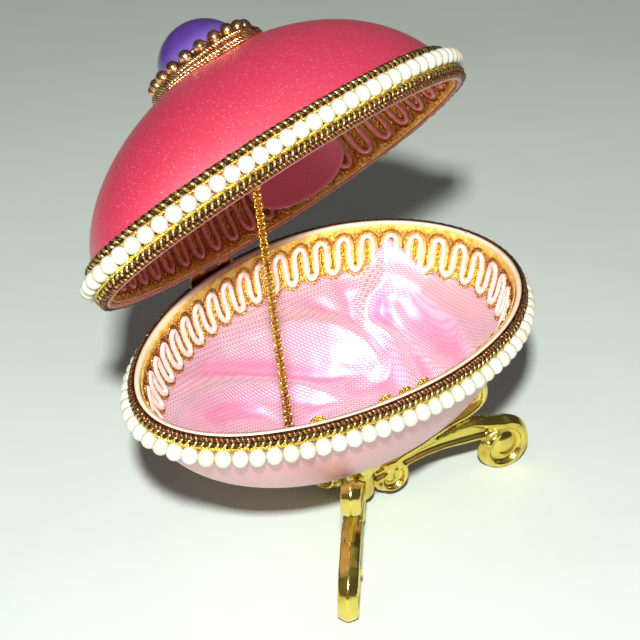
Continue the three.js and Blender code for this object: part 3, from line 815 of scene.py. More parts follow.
def gimp_line(side, middle, swing, offset, steps, aside=0.0):
    """The serpentine's middle line, or a line that runs beside it at a distance of aside millimetres."""
    pitch = even_turns(8, offset, side * middle)[1] / GIMP_LOOPS
    phase = np.linspace(0, 2 * math.pi * GIMP_LOOPS, GIMP_LOOPS * steps, endpoint=False)
    share = phase / (2 * math.pi) + LOOP_BULGE * np.sin(2 * phase)
    height = middle - swing * np.cos(phase)
    run = pitch * (1 / (2 * math.pi) + 2 * LOOP_BULGE * np.cos(2 * phase))
    climb = swing * np.sin(phase)
    length = np.hypot(run, climb)
    share = share + aside * climb / length / pitch
    height = height - aside * run / length
    return place(on_wall(share / GIMP_LOOPS, height, offset, side), side)


def gimp_tape(name, side):
    """The crinkled tape behind the loops, closed at its back."""
    stations = np.arange(TAPE_STEPS)
    shares = stations / TAPE_STEPS
    levels = np.linspace(GIMP_TOP - 1.45, GIMP_BOTTOM - 0.3, 26)

    def row(level, offset):
        return on_wall(shares, np.full(TAPE_STEPS, level), offset, side)

    def crinkles(j):
        return 0.12 * np.sin(stations * 1.9 + 2.3 * np.sin(j * 0.9)) * np.sin(j * 1.3 + stations * 0.37)

    front = np.stack([row(level, -1.42 + crinkles(j)) for j, level in enumerate(levels)], 1)
    rear = np.stack([row(level, -1.2) for level in levels[[-1, 0]]], 1)
    section = np.concatenate([front, rear], 1)
    faces = grid_faces(TAPE_STEPS, section.shape[1], loop_rows=True, loop_columns=True)
    return new_piece(name, place(section, side), faces if side == LID else faces[:, ::-1], [gold_tape])


for (side, body, word), cord_finish in zip(HALVES, (white_pink_cord, copper_pink_cord)):
    middle, swing = (GIMP_TOP + GIMP_BOTTOM) / 2, (GIMP_BOTTOM - GIMP_TOP - CORD) / 2
    line = gimp_line(side, middle, swing, -2.02, 44)
    cord = grow(
        word + "_gimp_cord", single_cord, line, closed_line(len(line)), Strand=CORD / 2 * MM, Sides=9,
        Finish=cord_finish,
    )
    wires = []
    for k, (aside, thick, second) in enumerate(WIRES):
        line = gimp_line(side, middle, swing, -1.9, 96, aside)
        wires.append(grow(
            f"{word}_gimp_wire_{k + 1}", two_ply, line, closed_line(len(line)), Sides=4, Finish=wire_gold,
            Turns=float(GIMP_LOOPS * WIRE_TURNS), Lay=thick * 0.9 * MM, Strand=thick * MM,
            **{"Second finish": second},
        ))
    tape = gimp_tape(word + "_gimp_tape", side)
    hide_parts(word + "_gimp")
    for part in [cord, tape, *wires]:
        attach(part, body)

# %% [markdown]
# Where the gimp was trimmed, a few ends of its gold wire stand up over the front edge as little hoops.
# Each is a short arc of the same twisted wire, so the rope tree makes them from arcs on the wall.

# %% Wire hoops on the front edge
CURL_PLACES, CURL_RADII, CURL_STEPS = (-28.1, -15.1, -10.6, -6.2), (1.3, 0.85), 40
curl_turn = np.radians(np.linspace(-35, 215, CURL_STEPS))[:, None]
curl_points, curl_edges = [], []
for x in CURL_PLACES:
    w = np.array([2 * math.pi - math.acos(x / HALF_LENGTH)])
    here, run, _ = level_frames(w, -1.3, -0.75)
    for radius in CURL_RADII:
        start = len(curl_points) * CURL_STEPS
        curl_edges += [(start + a, start + b) for a, b in open_line(CURL_STEPS)]
        rise = np.array([0, 0, radius]) * np.sin(curl_turn)
        curl_points.append(here + run * radius * np.cos(curl_turn) + rise)
curls = grow(
    "rim_curls", two_ply, place(np.concatenate(curl_points)), curl_edges, Turns=6.0, Lay=0.14 * MM,
    Strand=0.15 * MM, Sides=5, Finish=wire_gold, **{"Second finish": yellow_thread},
)
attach(curls, "box")

# %% [markdown]
# ## Satin linings
# The satin is a soft, shiny net, cut oval, gathered under the gimp and left in loose folds.  The cloth is
# a disc of points on the inner wall; each fold is a ridge along a line on the bowl's floor, with one
# steep and one gentle side.  A wide raised flap with a corner over the gimp lies at the blunt end.

# %% Satin finish
def satin(name, base, gap_color, bright, hollow_shade_color):
    material, tree, shader = finish(
        name, base, 0.5, 0.55, Sheen_Weight=0.2, Sheen_Roughness=0.3, Specular_IOR_Level=0.8,
    )
    net = effect(tree, weave, Cell=0.85, Gap=0.1)
    shading = effect(tree, tarnish, Scale=70.0, Start=0.35, End=0.7)
    body = blend_colors(tree, shading["Mask"], base, bright)
    # Painted shade: where the cloth lies below its smoothed surroundings, its colour is painted a deeper
    # pink.
    hollow_shade = node(tree, "ShaderNodeAttribute", attribute_name="hollow_shade").outputs["Fac"]
    body = blend_colors(tree, hollow_shade, body, hollow_shade_color)
    tree.links.new(blend_colors(tree, net["Gaps"], body, gap_color), shader.inputs["Base Color"])
    bump(tree, shader, net["Gaps"], -0.4, 0.0002)
    return material


# The last colour of each satin is the painted shade of its hollows.
bowl_satin = satin(
    "pink_satin", rgb(255, 231, 243), rgb(222, 144, 184), rgb(255, 245, 251), rgb(250, 156, 196),
)
lid_satin = satin("rose_satin", rgb(222, 110, 132), rgb(190, 74, 100), rgb(236, 140, 158), rgb(196, 76, 104))


# %% Folds and cloth
SPAN_STEPS = 5


def along_line(x, y, line):
    """Distance to a smooth line on the floor, which side of it, and how far along it is, from 0 to 1."""
    line = smooth_path(line, 1 + SPAN_STEPS * (len(line) - 1))
    lengths = np.concatenate([[0], np.cumsum(np.linalg.norm(np.diff(line, axis=0), axis=1))])
    best = np.full(x.shape, 1e9)
    side, share = np.ones(x.shape), np.zeros(x.shape)
    for k in range(len(line) - 1):
        a, d = line[k], line[k + 1] - line[k]
        u = np.clip(((x - a[0]) * d[0] + (y - a[1]) * d[1]) / (d @ d), 0, 1)
        dx, dy = x - a[0] - u * d[0], y - a[1] - u * d[1]
        distance = np.hypot(dx, dy)
        nearer = distance < best
        best = np.where(nearer, distance, best)
        side = np.where(nearer, np.sign(d[0] * dy - d[1] * dx), side)
        share = np.where(nearer, (lengths[k] + u * (lengths[k + 1] - lengths[k])) / lengths[-1], share)
    return best, side, share


def fold(x, y, line, heights, left, right):
    """A ridge along a line: heights from its start to its end, and how wide each flank is."""
    distance, side, share = along_line(x, y, line)
    width = np.where(side > 0, left, right)
    high = np.interp(share, np.linspace(0, 1, len(heights)), heights)
    return high * np.exp(-((distance / width) ** 2))


# Each fold: the few points its line needs, its heights from start to end, and its two flanks' widths.
BOWL_FOLDS = [
    # the flap's near edge, its far edge, and the ridge and valley between them
    ([(37, 12.5), (31, 15), (28, 12.5), (28.5, 5), (20, -8.5)], [2.6, 3.6, 4.4, 4.4, 3.8, 1.2], 1.6, 2.2),
    ([(37, 12.5), (39.5, 6.5), (38.5, -1.5), (34, -16.5)], [2.6, 3.6, 4.0, 4.0, 3.4, 1.0], 1.6, 1.8),
    ([(37, 7.5), (33.5, 12), (31, 10.5), (30.5, 4.5), (25.5, -6.5)],
     [-1.0, -2.2, -2.2, -1.8, -0.6], 1.0, 1.0),
    ([(37, 7), (36.5, 9.5), (33.5, 11), (31.5, 7), (29, -2), (24, -15)],
     [0.6, 2.6, 3.2, 3.2, 3.2, 2.8, 1.4], 1.5, 1.4),
    ([(37.5, 0), (35.5, -8), (29, -16)], [0.8, 3.2, 3.4, 1.8], 2.0, 1.5),
    # the swirl, and the crease that runs under it
    ([(-1, 26), (11, 24), (21, 18), (24.5, 11), (23, 5), (20.5, 4), (17.5, 6)],
     [2.0, 3.6, 4.4, 4.6, 4.6, 4.6, 4.4, 3.6, 2.6, 1.4], 1.5, 4.6),
    ([(-24, 20), (-9, 21), (4, 18), (14, 11), (20.5, 2)], [-0.8, -1.8, -2.2, -2.0, -1.0], 1.1, 0.9),
    # the band below the crease, and the hollow in front of it
    ([(-30, 15), (-15, 18.5), (-3, 16.5), (6, 11), (11.5, 2)], [1.0, 3.0, 3.8, 3.4, 1.2], 2.2, 1.4),
    ([(-21, 14), (-13, 15), (-7, 13.5), (-5.5, 10)], [-0.8, -2.2, -2.2, -0.6], 0.9, 2.2),
    # two short pleats under the gimp
    ([(20, 25), (24, 21), (26.5, 14.5)], [3.0, 3.0, 2.0, 0.8], 1.0, 1.3),
    ([(10.5, 27.5), (16, 25), (21.5, 21)], [1.0, 2.2, 2.2, 0.8], 1.2, 1.2),
    # loose waves along the middle and the near side
    ([(-30, 6), (-8, 2), (4, 4), (14, 0)], [0.8, 2.0, 2.6, 2.2, 0.8], 2.2, 3.6),
    ([(-26, -8), (-14, -7), (-2, -9), (10, -8), (20, -12)], [0.8, 2.4, 3.0, 2.4, 0.8], 3.0, 2.2),
]
LID_FOLDS = [
    ([(-30, 10), (-16, 14), (0, 12), (12, 15), (24, 9)], [0.5, 1.4, 1.6, 1.5, 0.5], 2.4, 1.6),
    ([(-24, -6), (-10, -2), (4, -5), (18, 0), (30, -4)], [0.5, 1.5, 1.8, 1.5, 0.5], 1.8, 2.6),
    ([(-18, -14), (-4, -12), (10, -15), (22, -11)], [0.4, 1.2, 1.4, 0.4], 2.0, 1.6),
]


def ripple(x, y):
    """Small soft unevenness all over the cloth."""
    return 0.16 * (np.sin(0.9 * x + 1.3 * np.sin(0.31 * y)) * np.cos(0.7 * y + 1.1 * np.sin(0.23 * x)) + 1)


def eased(height, passes):
    """Heights on the disc, smoothed round it and then across it."""
    for _ in range(passes):
        height = 0.5 * height + 0.25 * (np.roll(height, 1, 1) + np.roll(height, -1, 1))
        height[1:-1] = 0.5 * height[1:-1] + 0.25 * (height[2:] + height[:-2])
    return height


CLOTH_DEPTH, DEEPEST = 9.5, 1.3  # its edge below the cut, and how far a fold may sink
# Painted shade: sunk hollows of the cloth are painted a deeper pink, standing in for the shade that gathers
# there.
HOLLOW_SHADE = 0.68  # how far a hollow takes the deeper colour


def cloth_lining(name, side, folds, material, corner=None):
    """A lining: an oval disc of cloth on the inner wall, tucked in at its edge, with its folds."""
    around, across = 420, 96
    w = np.linspace(0, 2 * math.pi, around, endpoint=False)
    depth = np.full(around, CLOTH_DEPTH)
    lift = np.zeros(around)
    if corner:
        middle, wide_left, wide_right, height = corner
        gap = (w - middle + math.pi) % (2 * math.pi) - math.pi
        lift = np.clip(1 - np.abs(gap) / np.where(gap > 0, wide_left, wide_right), 0, 1)
        depth -= height * lift
    rim = rim_points(w, -1.35, side * depth)
    k = np.linspace(1, 0, across) ** 0.9
    x, y = k[:, None] * rim[None, :, 0], k[:, None] * rim[None, :, 1]
    inside = 1 - k[:, None] + 0 * x
    tuck = np.clip(inside / 0.06, 0, 1)
    tuck = tuck * tuck * (3 - 2 * tuck)
    raised, sunk = 0 * x, 0 * x
    for line, heights, left, right in folds:
        shape = fold(x, y, line, heights, left, right)
        raised, sunk = np.maximum(raised, shape), np.minimum(sunk, shape)
    swell = 0.9 * raised + sunk + ripple(x, y)
    swell = np.maximum(eased(swell, 10), -DEEPEST)
    # Painted shade: how far each point sinks below the widely smoothed cloth, stored on the points to deepen
    # the satin's colour there.
    hollow_shade = HOLLOW_SHADE * np.clip((eased(swell, 150) - swell) / 0.9, 0, 1).reshape(-1)
    edge_lift = lift[None, :] * np.exp(-(inside / 0.16) ** 2)
    offset = -1.35 - 1.7 * tuck - swell * np.clip(inside / 0.1, 0, 1) - 1.0 * edge_lift
    t = falling_zero(lambda trial: profile(trial, -1.35)[0] - x, np.zeros(x.shape), np.full(x.shape, math.pi))
    px, pr = profile(t, -1.35)
    angle = np.arctan2(np.sqrt(np.maximum(pr**2 - y**2, 0)), y)
    qx, qr = profile(t, offset)
    points = np.stack([qx, qr * np.cos(angle), side * qr * np.sin(angle)], -1).reshape(-1, 3)
    warp, weft = qx * 1.04 + 0.25 * swell, (angle - math.pi / 2) * -24 + 0.25 * swell
    uv = np.stack([0.64 * warp - 0.77 * weft, 0.77 * warp + 0.64 * weft], -1).reshape(-1, 2)
    rows = across - 1
    points = np.concatenate([points[: rows * around], points[rows * around:].mean(0)[None]])
    uv = np.concatenate([uv[: rows * around], uv[rows * around:].mean(0)[None]])
    hollow_shade = hollow_shade[: rows * around + 1]
    faces = grid_faces(rows, around, loop_columns=True).tolist()
    last = (rows - 1) * around
    faces += [[last + j, rows * around, last + (j + 1) % around] for j in range(around)]
    if side == BOWL:
        faces = [f[::-1] for f in faces]
    piece = new_piece(name, place(points, side), faces, [material], uv=uv, marks={"hollow_shade": hollow_shade})
    return thickened(piece, 0.0002, -1)


def cloth_area(piece):
    """Half the closed mesh's surface, in square metres."""
    return sum(p.area for p in piece.data.polygons) / 2


bowl_cloth = cloth_lining("bowl_satin", BOWL, BOWL_FOLDS, bowl_satin, corner=(0.52, 0.15, 0.30, 6.6))
lid_cloth = cloth_lining("lid_satin", LID, LID_FOLDS, lid_satin)
for cloth, body, cad in ((bowl_cloth, "box", "bowl_lining"), (lid_cloth, "lid", "lid_lining")):
    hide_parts(cad)
    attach(cloth, body)
    print(cloth.name, "measures", round(cloth_area(cloth) * 1e4, 1), "square centimetres")

# %% [markdown]
# A rounded tongue of the lid's satin has come loose and hangs over the gimp at the back.  It is a
# separate small sheet with a bright woven hem, bowed out from the wall.

# %% Loose satin tongue
flap_satin, tree, shader = finish(
    "tongue_satin", rgb(222, 100, 122), 0.34, 0.0, Sheen_Weight=0.6, Sheen_Roughness=0.3,
    Specular_IOR_Level=0.7,
)
net = effect(tree, weave, Cell=1.0, Gap=0.08)
hem = node(tree, "ShaderNodeAttribute", attribute_name="hem").outputs["Fac"]
body_color = blend_colors(tree, net["Gaps"], rgb(236, 124, 146), rgb(208, 90, 116))
tree.links.new(blend_colors(tree, hem, body_color, rgb(246, 176, 186)), shader.inputs["Base Color"])
bump(tree, shader, net["Gaps"], -0.3, 0.0002)


def tongue(name, material):
    across, down = 70, 60
    a = np.linspace(-1, 1, across)[:, None]
    b = np.linspace(0, 1, down)[None, :]
    end = 1.2 + 6.6 * (1 - np.sqrt(np.clip(1 - np.abs(a) ** 2.3, 0, 1)))
    z = 12.5 + (end - 12.5) * b
    w_left, w_right = math.acos(14.6 / HALF_LENGTH), math.acos(37.6 / HALF_LENGTH)
    w = (w_left + w_right) / 2 - a * (w_left - w_right) / 2 + 0 * b
    bow = 0.9 * np.sin(math.pi * (0.15 + 0.85 * b)) + 0.5 * np.cos(3.1 * a + 1.5 * b) * b
    points = rim_points(w, -3.3 - bow, z + 0 * a)
    arc = a * 9.6 + 0 * b
    uv = np.stack([arc, z + 0 * a], -1).reshape(-1, 2)
    edge = np.clip(1 - np.minimum((1 - np.abs(a)) * 9.6, (z - end) * 1.0) / 0.9, 0, 1)
    ragged = edge * (0.75 + 0.25 * np.sin(arc * 9 + z * 2))
    faces = grid_faces(across, down)
    piece = new_piece(name, place(points, LID), faces, [material], uv=uv, marks={"hem": ragged.ravel()})
    return thickened(piece, 0.0003, 0)


loose_tongue = tongue("satin_tongue", flap_satin)
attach(loose_tongue, "lid")
print("tongue measures", round(cloth_area(loose_tongue) * 1e4, 1), "square centimetres")

# %% [markdown]
# ## Crown of the lid
# A round violet cabochon sits in a gilt setting.  Turned things are easiest to make by spinning a
# profile, here with a function that closes the pole.  The beads, the twisted fringe and the rope round
# the setting follow the lid's curve.

# %% Crown finishes
violet, tree, shader = finish(
    "violet_cabochon", rgb(92, 58, 168), 0.22, 0.0, Coat_Weight=1.0, Coat_Roughness=0.06,
    Subsurface_Weight=0.3,
    Subsurface_Radius=(0.4, 0.3, 1.0), Subsurface_Scale=0.003, Specular_IOR_Level=0.6,
)
# Painted glow: the stone's lower part is painted a lighter violet, standing in for light glowing inside it;
# the depth attribute says how far down each point lies.
painted_glow = node(tree, "ShaderNodeAttribute", attribute_name="depth").outputs["Fac"]
cloud = effect(tree, tarnish, Scale=160.0, Start=0.3, End=0.8)
deep = blend_colors(tree, cloud["Mask"], rgb(72, 46, 130), rgb(88, 60, 150))
tree.links.new(blend_colors(tree, painted_glow, deep, rgb(128, 104, 182)), shader.inputs["Base Color"])
antique = worn_finish(
    "antique_gold", rgb(212, 160, 84), rgb(244, 200, 150), rgb(150, 92, 58),
    0.24, 1.0, (700.0, 0.45, 0.72), (0.5, 0.0002),
)


# %% Cabochon and setting
CABOCHON_X, CABOCHON_RADIUS, CABOCHON_Z = 1.7, 8.9, 28.9


def spun(name, outline, steps, material, marks):
    """Spins an outline of (radius, height) points about the crown's upright axis."""
    turn = np.linspace(0, 2 * math.pi, steps, endpoint=False)
    outline = np.asarray(outline, float)
    rings = np.stack([
        np.stack([CABOCHON_X + r * np.cos(turn), r * np.sin(turn), z + 0 * turn], -1) for r, z in outline
    ])
    faces = grid_faces(len(outline), steps, loop_columns=True).tolist()
    points = rings.reshape(-1, 3)
    faces += [list(range(steps)), [len(points) - 1 - k for k in range(steps)]]
    values = {key: np.repeat(v, steps) for key, v in marks.items()}
    piece = new_piece(name, place(points, LID), faces, [material], marks=values)
    return faced_outward(piece, weld=True)


rise = np.linspace(math.radians(5), math.radians(89.7), 40)
dome = np.stack([CABOCHON_RADIUS * np.cos(rise), CABOCHON_Z + CABOCHON_RADIUS * np.sin(rise)], 1)
dome = np.concatenate([[[CABOCHON_RADIUS * 0.97, CABOCHON_Z + 0.3]], dome])
# Painted glow: depth is 1 at the stone's foot and falls to 0 about five millimetres up, and lightens the
# stone's colour there.
depth = np.clip(1.15 - (dome[:, 1] - CABOCHON_Z) / 4.5, 0, 1)
stone = spun("violet_dome", dome, 96, violet, {"depth": depth})
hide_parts("cabochon")
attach(stone, "lid")


def skin_height(radius, turn):
    """Height of the lid's skin under a ring about the crown."""
    x, y = CABOCHON_X + radius * np.cos(turn), radius * np.sin(turn)
    t = falling_zero(lambda trial: profile(trial)[0] - x, np.zeros(x.shape), np.full(x.shape, math.pi))
    return np.sqrt(profile(t)[1] ** 2 - y**2)


turn = np.linspace(0, 2 * math.pi, 180, endpoint=False)
wall = []
WALL_OUTLINE = (  # radius and height; 0 is the lid's skin
    (8.75, 0), (8.75, 29.9), (9.3, 30.25), (10.4, 30.1), (11.2, 29.6), (11.5, 29.1), (11.5, 0),
)
for radius, top in WALL_OUTLINE:
    z = skin_height(np.full(turn.shape, radius), turn) + 0.06 if top == 0 else np.full(turn.shape, top)
    wall.append(np.stack([CABOCHON_X + radius * np.cos(turn), radius * np.sin(turn), z], -1))
wall = np.stack(wall, 1)
wall_faces = grid_faces(*wall.shape[:2], loop_rows=True, loop_columns=True)[:, ::-1]
setting = new_piece("setting_wall", place(wall, LID), wall_faces, [antique])


def ring_frames(radius, height, count, start=0.0):
    """Points round the crown with their run and outward directions; height may follow the skin."""
    turn = (np.arange(count) + start) / count * 2 * math.pi
    z = height(np.full(turn.shape, radius), turn) if callable(height) else np.full(turn.shape, height)
    points = np.stack([CABOCHON_X + radius * np.cos(turn), radius * np.sin(turn), z], -1)
    run = np.stack([-np.sin(turn), np.cos(turn), 0 * turn], -1)
    return points, run, np.stack([0 * turn, 0 * turn, 0 * turn + 1], -1)


def crown_beads(name, radius, height, count, size, start=0.0):
    """A ring of round beads about the crown."""
    points, run, outward = ring_frames(radius, height, count, start)
    return grow(
        name, bead_tree, place(points, LID), Size=[size * MM] * 3, Finish=antique, Segments=14,
        Unevenness=0.04, Seed=5,
        vectors={"run": directions(run, LID), "outward": directions(outward, LID)},
    )


def crown_rope(name, radius, height, tree, lay, strand, turns):
    """A twisted ring about the crown."""
    count = turns * 14
    points, _, _ = ring_frames(radius, height, count)
    return grow(
        name, tree, place(points, LID), closed_line(count), Turns=float(turns), Lay=lay * MM,
        Strand=strand * MM, Sides=5, Finish=antique, **{"Second finish": antique},
    )


crown = [
    setting,
    crown_beads("setting_beads", 10.3, 30.3, 20, 2.8),
    crown_beads("setting_small_beads", 9.2, 30.5, 44, 1.1, 0.5),
    crown_rope("setting_upper_rope", 11.5, 28.7, three_ply, 0.32, 0.3, 36),
    crown_rope("setting_rope", 11.7, lambda r, t: skin_height(r, t) + 0.75, three_ply, 0.36, 0.34, 30),
    crown_rope("setting_foot_wire", 12.2, lambda r, t: skin_height(r, t) + 0.28, two_ply, 0.16, 0.18, 52),
]
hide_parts("cabochon_setting")
for part in crown:
    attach(part, "lid")

# %% [markdown]
# ## Stay chain and hinge
# A fine rolo chain keeps the lid from falling back.  Each oval link is turned a quarter from the last,
# and the chain tree sets them on evenly spaced points.  It joins both halves in a straight line.

# %% Chain
LINKS, LINK_WIDTH, LINK_WIRE, LINK_OVERLAP = 54, 1.6, 0.2, 0.42


def chain_end(x, side):
    """Where the chain is fixed inside a rim, at x along the front."""
    w = np.array([2 * math.pi - math.acos(x / HALF_LENGTH)])
    return place(rim_points(w, -2.9, side * 2.6), side)[0]


foot, head = chain_end(-32.6, BOWL), chain_end(-24.4, LID)
print("chain runs from", foot.round(4), "to", head.round(4))
chain_finish = worn_finish(
    "chain_gold", rgb(236, 190, 70), rgb(248, 206, 84), rgb(206, 130, 62), 0.2, 1.0, (600.0, 0.4, 0.75),
)
down = (head - foot) / np.linalg.norm(head - foot)
one_way = np.cross(down, (0.6, 0.8, 0))
one_way /= np.linalg.norm(one_way)
other_way = np.cross(down, one_way)
share = (np.arange(LINKS) + 0.5) / LINKS
points = foot + (head - foot) * share[:, None]
quarter_turns = np.where(np.arange(LINKS) % 2, 1, -1)[:, None]
faces_of_links = (one_way + other_way * quarter_turns) / math.sqrt(2)
pitch = np.linalg.norm(head - foot) / LINKS / MM
chain = grow(
    "chain_links", link_tree, points, vectors={"run": np.tile(down, (LINKS, 1)), "outward": faces_of_links},
    **{
        "Link length": (pitch + LINK_OVERLAP) * MM, "Link width": LINK_WIDTH * MM, "Wire": LINK_WIRE * MM,
        "Finish": chain_finish,
    },
)
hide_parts("stay_chain")
tuple(foot)
tuple(head)
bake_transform(chain)

# %% Hinge metal
# Painted shade: the hinge's brass is painted a dark red-brown all over, the colour it shows in the shade
# between the rims; it also turns darker still in cloudy patches.
hinge_brass = worn_finish(
    "shade_darkened_brass", rgb(150, 92, 56), rgb(190, 130, 70), rgb(90, 44, 30),
    0.35, 1.0, (500.0, 0.4, 0.7), (0.4, 0.0002),
)
for cad in ("bowl_hinge_leaf", "lid_hinge_leaf", "hinge_pin"):
    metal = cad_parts[cad]
    for slot_index in range(len(metal.material_slots)):
        metal.material_slots[slot_index].material = hinge_brass
print("hinge carries", hinge_brass.name)

# %% [markdown]
# ## Gilt stand
# The stand is one casting: three S-scrolled legs on a hub, each with a cradle arm that curls at its tip.
# Each band is swept along a smooth line with a ridge down its edges, then everything is melted together
# by a voxel remesh, which rounds the joins as a casting does.

# %% Stand finish
gilt = worn_finish(
    "bright_gilt", rgb(240, 214, 110), rgb(232, 212, 108), rgb(196, 154, 58),
    0.2, 1.0, (180.0, 0.45, 0.8), (0.25, 0.0004),
)

# %% Bands of the casting
STAND_X, STAND_Y, GROUND, LEG_THICKNESS = 1.0, -6.3, -41.0, 3.8
LEG_AZIMUTHS, ARM_BENDS = (-144.2, -24.2, 95.8), (5.5, 2.6, -1.0)


def capped_rings(rings):
    """Points and faces of a closed body from rings of points, with flat ends."""
    rows, columns = rings.shape[:2]
    faces = grid_faces(rows, columns, loop_columns=True).tolist()
    ends = [list(range(columns)), [rows * columns - 1 - k for k in range(columns)]]
    return rings.reshape(-1, 3), faces + ends


def band(path, thickness=LEG_THICKNESS, ridge=0.9, flat=0.5, count=70):
    """A bar along a line of (r, z, width) in the leg's plane, with ridged edges."""
    path = smooth_path(path, count)
    r, z, width = path.T
    dr, dz = np.gradient(r), np.gradient(z)
    length = np.hypot(dr, dz)
    nr, nz = -dz / length, dr / length
    half = width / 2 + 0.25
    section = [
        (-1, 0, 0), (-1, ridge, -flat), (1, -ridge, -flat), (1, 0, 0), (1, -ridge, flat), (-1, ridge, flat),
    ]
    rings = []
    for sign, inward, thick in section:
        reach = sign * half + inward
        rings.append(np.stack([r + nr * reach, thick * thickness + 0 * r, z + nz * reach], -1))
    return capped_rings(np.stack(rings, 1))


def scroll(centre, start_radius, end_radius, start_deg, turns, width):
    """A line that rolls in towards a centre."""
    angle = np.radians(start_deg) - np.linspace(0, turns * 2 * math.pi, 12 + int(turns * 8))
    radius = np.linspace(start_radius, end_radius, len(angle))
    widths = width * np.linspace(1, 0.6, len(angle))
    return np.stack([centre[0] + radius * np.cos(angle), centre[1] + radius * np.sin(angle), widths], -1)


def ball_at(centre, radius, thickness, steps=18):
    """A flattened button in the leg's plane."""
    u = np.linspace(0.001, math.pi - 0.001, steps)[:, None]
    v = np.linspace(0, 2 * math.pi, 2 * steps, endpoint=False)[None, :]
    r, z = centre[0] + radius * np.sin(u) * np.cos(v), centre[1] + radius * np.sin(u) * np.sin(v)
    return capped_rings(np.stack([r, thickness * np.cos(u) + 0 * v, z], -1))


# Lines of (distance from the stand's middle, height, width).
FOOT_CENTRE, LOBE_CENTRE, ARM_ROOT = (32.6, -35.9), (7.0, -35.4), (6, -33)
LEG_LINE = [
    (0.5, -34.6, 4), (6, -33.4, 3.4), (11, -31.9, 3.2), (17, -30.6, 3.9), (24, -30.2, 5.0),
    (28.4, -30.6, 4.8),
]
FOOT_SCROLL = scroll(FOOT_CENTRE, 5.3, 3.4, 98, 0.98, 2.7)
ARM_LINE = [(5.6, -34.6, 2), (8.4, -31.6, 2.2), (13.5, -29.8, 2), (19.5, -27.6, 1.9), (24.4, -26.4, 1.9),
            (27.3, -24.6, 2), (28.1, -21.9, 2.1), (27, -20.2, 1.9), (25.2, -20.9, 1.7), (24.3, -22.8, 1.6)]


def edge_of(line, side, widths):
    """A rib along one edge of a band; widths are given from its start to its end."""
    fine = smooth_path(line, 24)
    r, z, full = fine.T
    width = np.interp(np.linspace(0, 1, 24), np.linspace(0, 1, len(widths)), widths)
    dr, dz = np.gradient(r), np.gradient(z)
    length = np.hypot(dr, dz)
    shift = side * (full / 2 - width / 2)
    return np.stack([r - dz / length * shift, z + dr / length * shift, width], -1)


def leg_parts(bend):
    """Every band and button of one leg, in the leg's own plane."""
    upper_rib = edge_of(LEG_LINE, 1, (1.9, 1.7, 1.5, 1.3, 1.3, 2.2))
    parts = [
        band(LEG_LINE, thickness=2.0, flat=0.5, ridge=0.3),
        band(np.concatenate([upper_rib[:-3], FOOT_SCROLL]), count=190),
        band(edge_of(LEG_LINE, -1, (1.9, 1.7, 1.6, 1.6, 1.8, 2.0))),
        ball_at(FOOT_CENTRE, 5.4, 1.1),
        ball_at((33.0, -35.4), 2.9, 1.9),
        ball_at((29.2, -34.3), 1.5, 2.3),
        band(scroll(LOBE_CENTRE, 3.7, 1.5, 120, 1.2, 2.1), count=90),
        ball_at(LOBE_CENTRE, 3.8, 1.0),
        ball_at((6.6, -35.2), 1.2, 2.0),
    ]
    arm = band(ARM_LINE, count=110)
    curl = ball_at((25.6, -22.6), 1.7, 1.6)
    for points, faces in (arm, curl):
        r, z = swung(points[:, 0] - ARM_ROOT[0], points[:, 2] - ARM_ROOT[1], math.radians(bend))
        parts.append((np.stack([ARM_ROOT[0] + r, points[:, 1], ARM_ROOT[1] + z], -1), faces))
    return parts


def hub():
    """The turned hub under the egg."""
    outline = [
        (0.01, -38.6), (1.6, -38.5), (2.6, -37.9), (3.3, -37), (3.4, -35), (3.4, -32.4), (4.2, -31), (5, -30),
        (5, -27.5), (0.01, -27.5),
    ]
    turn = np.linspace(0, 2 * math.pi, 40, endpoint=False)
    rings = [np.stack([r * np.cos(turn), r * np.sin(turn), z + 0 * turn], -1) for r, z in outline]
    return capped_rings(np.stack(rings))


all_points, all_faces, total = [], [], 0
groups = [(hub(), 0.0)]
for azimuth, bend in zip(LEG_AZIMUTHS, ARM_BENDS):
    groups += [(part, math.radians(azimuth)) for part in leg_parts(bend)]
for (points, faces), azimuth in groups:
    x, y = swung(points[:, 0], points[:, 1], azimuth)
    all_points.append(np.stack([STAND_X + x, STAND_Y + y, points[:, 2]], -1))
    all_faces += [[i + total for i in f] for f in faces]
    total += len(points)
stand = new_piece("gilt_stand", place(np.concatenate(all_points)), all_faces, [gilt])
faced_outward(stand)
melt = stand.modifiers.new("melt", "REMESH")
melt.mode, melt.voxel_size = "VOXEL", 0.0003
even = stand.modifiers.new("even", "SMOOTH")
even.factor, even.iterations = 0.5, 2
stand = applied(stand)
print("casting has", len(stand.data.polygons), "faces after melting")

# %% Feet and saddle
SEAT_GAP = 0.35  # between the casting and the egg


def trim_casting(piece):
    """Flattens the feet on the ground and seats the casting against the egg."""
    count = len(piece.data.vertices)
    co = np.empty(count * 3)
    piece.data.vertices.foreach_get("co", co)
    points = (co.reshape(-1, 3) - EGG_MIDDLE) / MM
    points[:, 2] = np.maximum(points[:, 2], GROUND)
    t = falling_zero(
        lambda trial: profile(trial, SEAT_GAP)[0] - np.clip(points[:, 0], -HALF_LENGTH, HALF_LENGTH),
        np.zeros(count), np.full(count, math.pi),
    )
    skin = profile(t, SEAT_GAP)[1]
    across = np.hypot(points[:, 1], points[:, 2])
    push = np.where(across < skin, skin / np.maximum(across, 1), 1.0)
    points[:, 1:] *= push[:, None]
    piece.data.vertices.foreach_set("co", (points * MM + EGG_MIDDLE).ravel())
    piece.data.update()


trim_casting(stand)
stand.data.polygons.foreach_set("use_smooth", [True] * len(stand.data.polygons))
stand.data.materials.clear()
stand.data.materials.append(gilt)
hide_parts("stand")
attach(stand, "box")

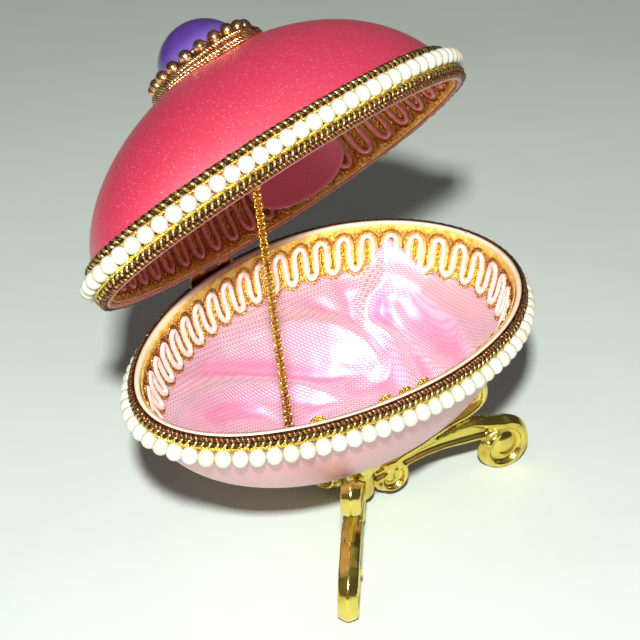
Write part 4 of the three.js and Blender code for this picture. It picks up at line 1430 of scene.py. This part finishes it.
# %% [markdown]
# ## Floor and light
# A plain pale floor and soft lamps.  The brightest lamp stands just above the camera, so the satin and
# lacquer flash back and the shadow falls behind and to the right.

# %% Floor
floor_finish = worn_finish(
    "pale_floor", rgb(214, 226, 220), rgb(216, 228, 222), rgb(208, 222, 214), 0.6, 0.0, (12.0, 0.3, 0.8),
)
FLOOR_Z = EGG_MIDDLE[2] + GROUND * MM
FLOOR_REACH = 3.0  # metres
floor_corners = [(x * FLOOR_REACH, y * FLOOR_REACH, FLOOR_Z) for x, y in ((-1, -1), (1, -1), (1, 1), (-1, 1))]
floor = new_piece("floor", floor_corners, [(0, 1, 2, 3)], [floor_finish], smooth=False)
floor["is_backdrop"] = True

# %% Lamps
def lamp(name, position_mm, power, width, color=(1, 1, 1)):
    """A square lamp that faces the egg's middle."""
    light = bpy.data.lights.new(name, "AREA")
    light.energy, light.size, light.color = power, width, color
    made = bpy.data.objects.new(name, light)
    bpy.context.collection.objects.link(made)
    made.location = (EGG_MIDDLE + np.asarray(position_mm) * MM).tolist()
    aim = -np.asarray(position_mm, float)
    made.rotation_euler = Vector(aim.tolist()).to_track_quat("-Z", "Y").to_euler()


around, up = math.radians(-52), math.radians(41)
flash = 550 * np.array([math.sin(around) * math.cos(up), -math.cos(around) * math.cos(up), math.sin(up)])
lamp("flash", flash, 5.4, 0.03, (1.0, 0.985, 0.95))
lamp("sky", (60, -120, 420), 0.08, 0.5)
lamp("side", (-420, 120, 200), 0.03, 0.35)
world = bpy.data.worlds.new("studio")
bpy.context.scene.world = world
world.use_nodes = True
ambient = world.node_tree.nodes["Background"].inputs
ambient["Color"].default_value, ambient["Strength"].default_value = (1.0, 0.86, 0.84, 1), 0.075
bpy.context.scene.view_settings.view_transform = "Standard"
bpy.context.scene.view_settings.look = "None"

# %% Sizes, and the end
visual_box = [[float(x) for x in corner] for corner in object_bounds()]
for axis in range(3):
    cad_span, visual_span = ([round(c[axis], 4) for c in box] for box in (cad_box, visual_box))
    print("xyz"[axis], "CAD", cad_span, "visual", visual_span)
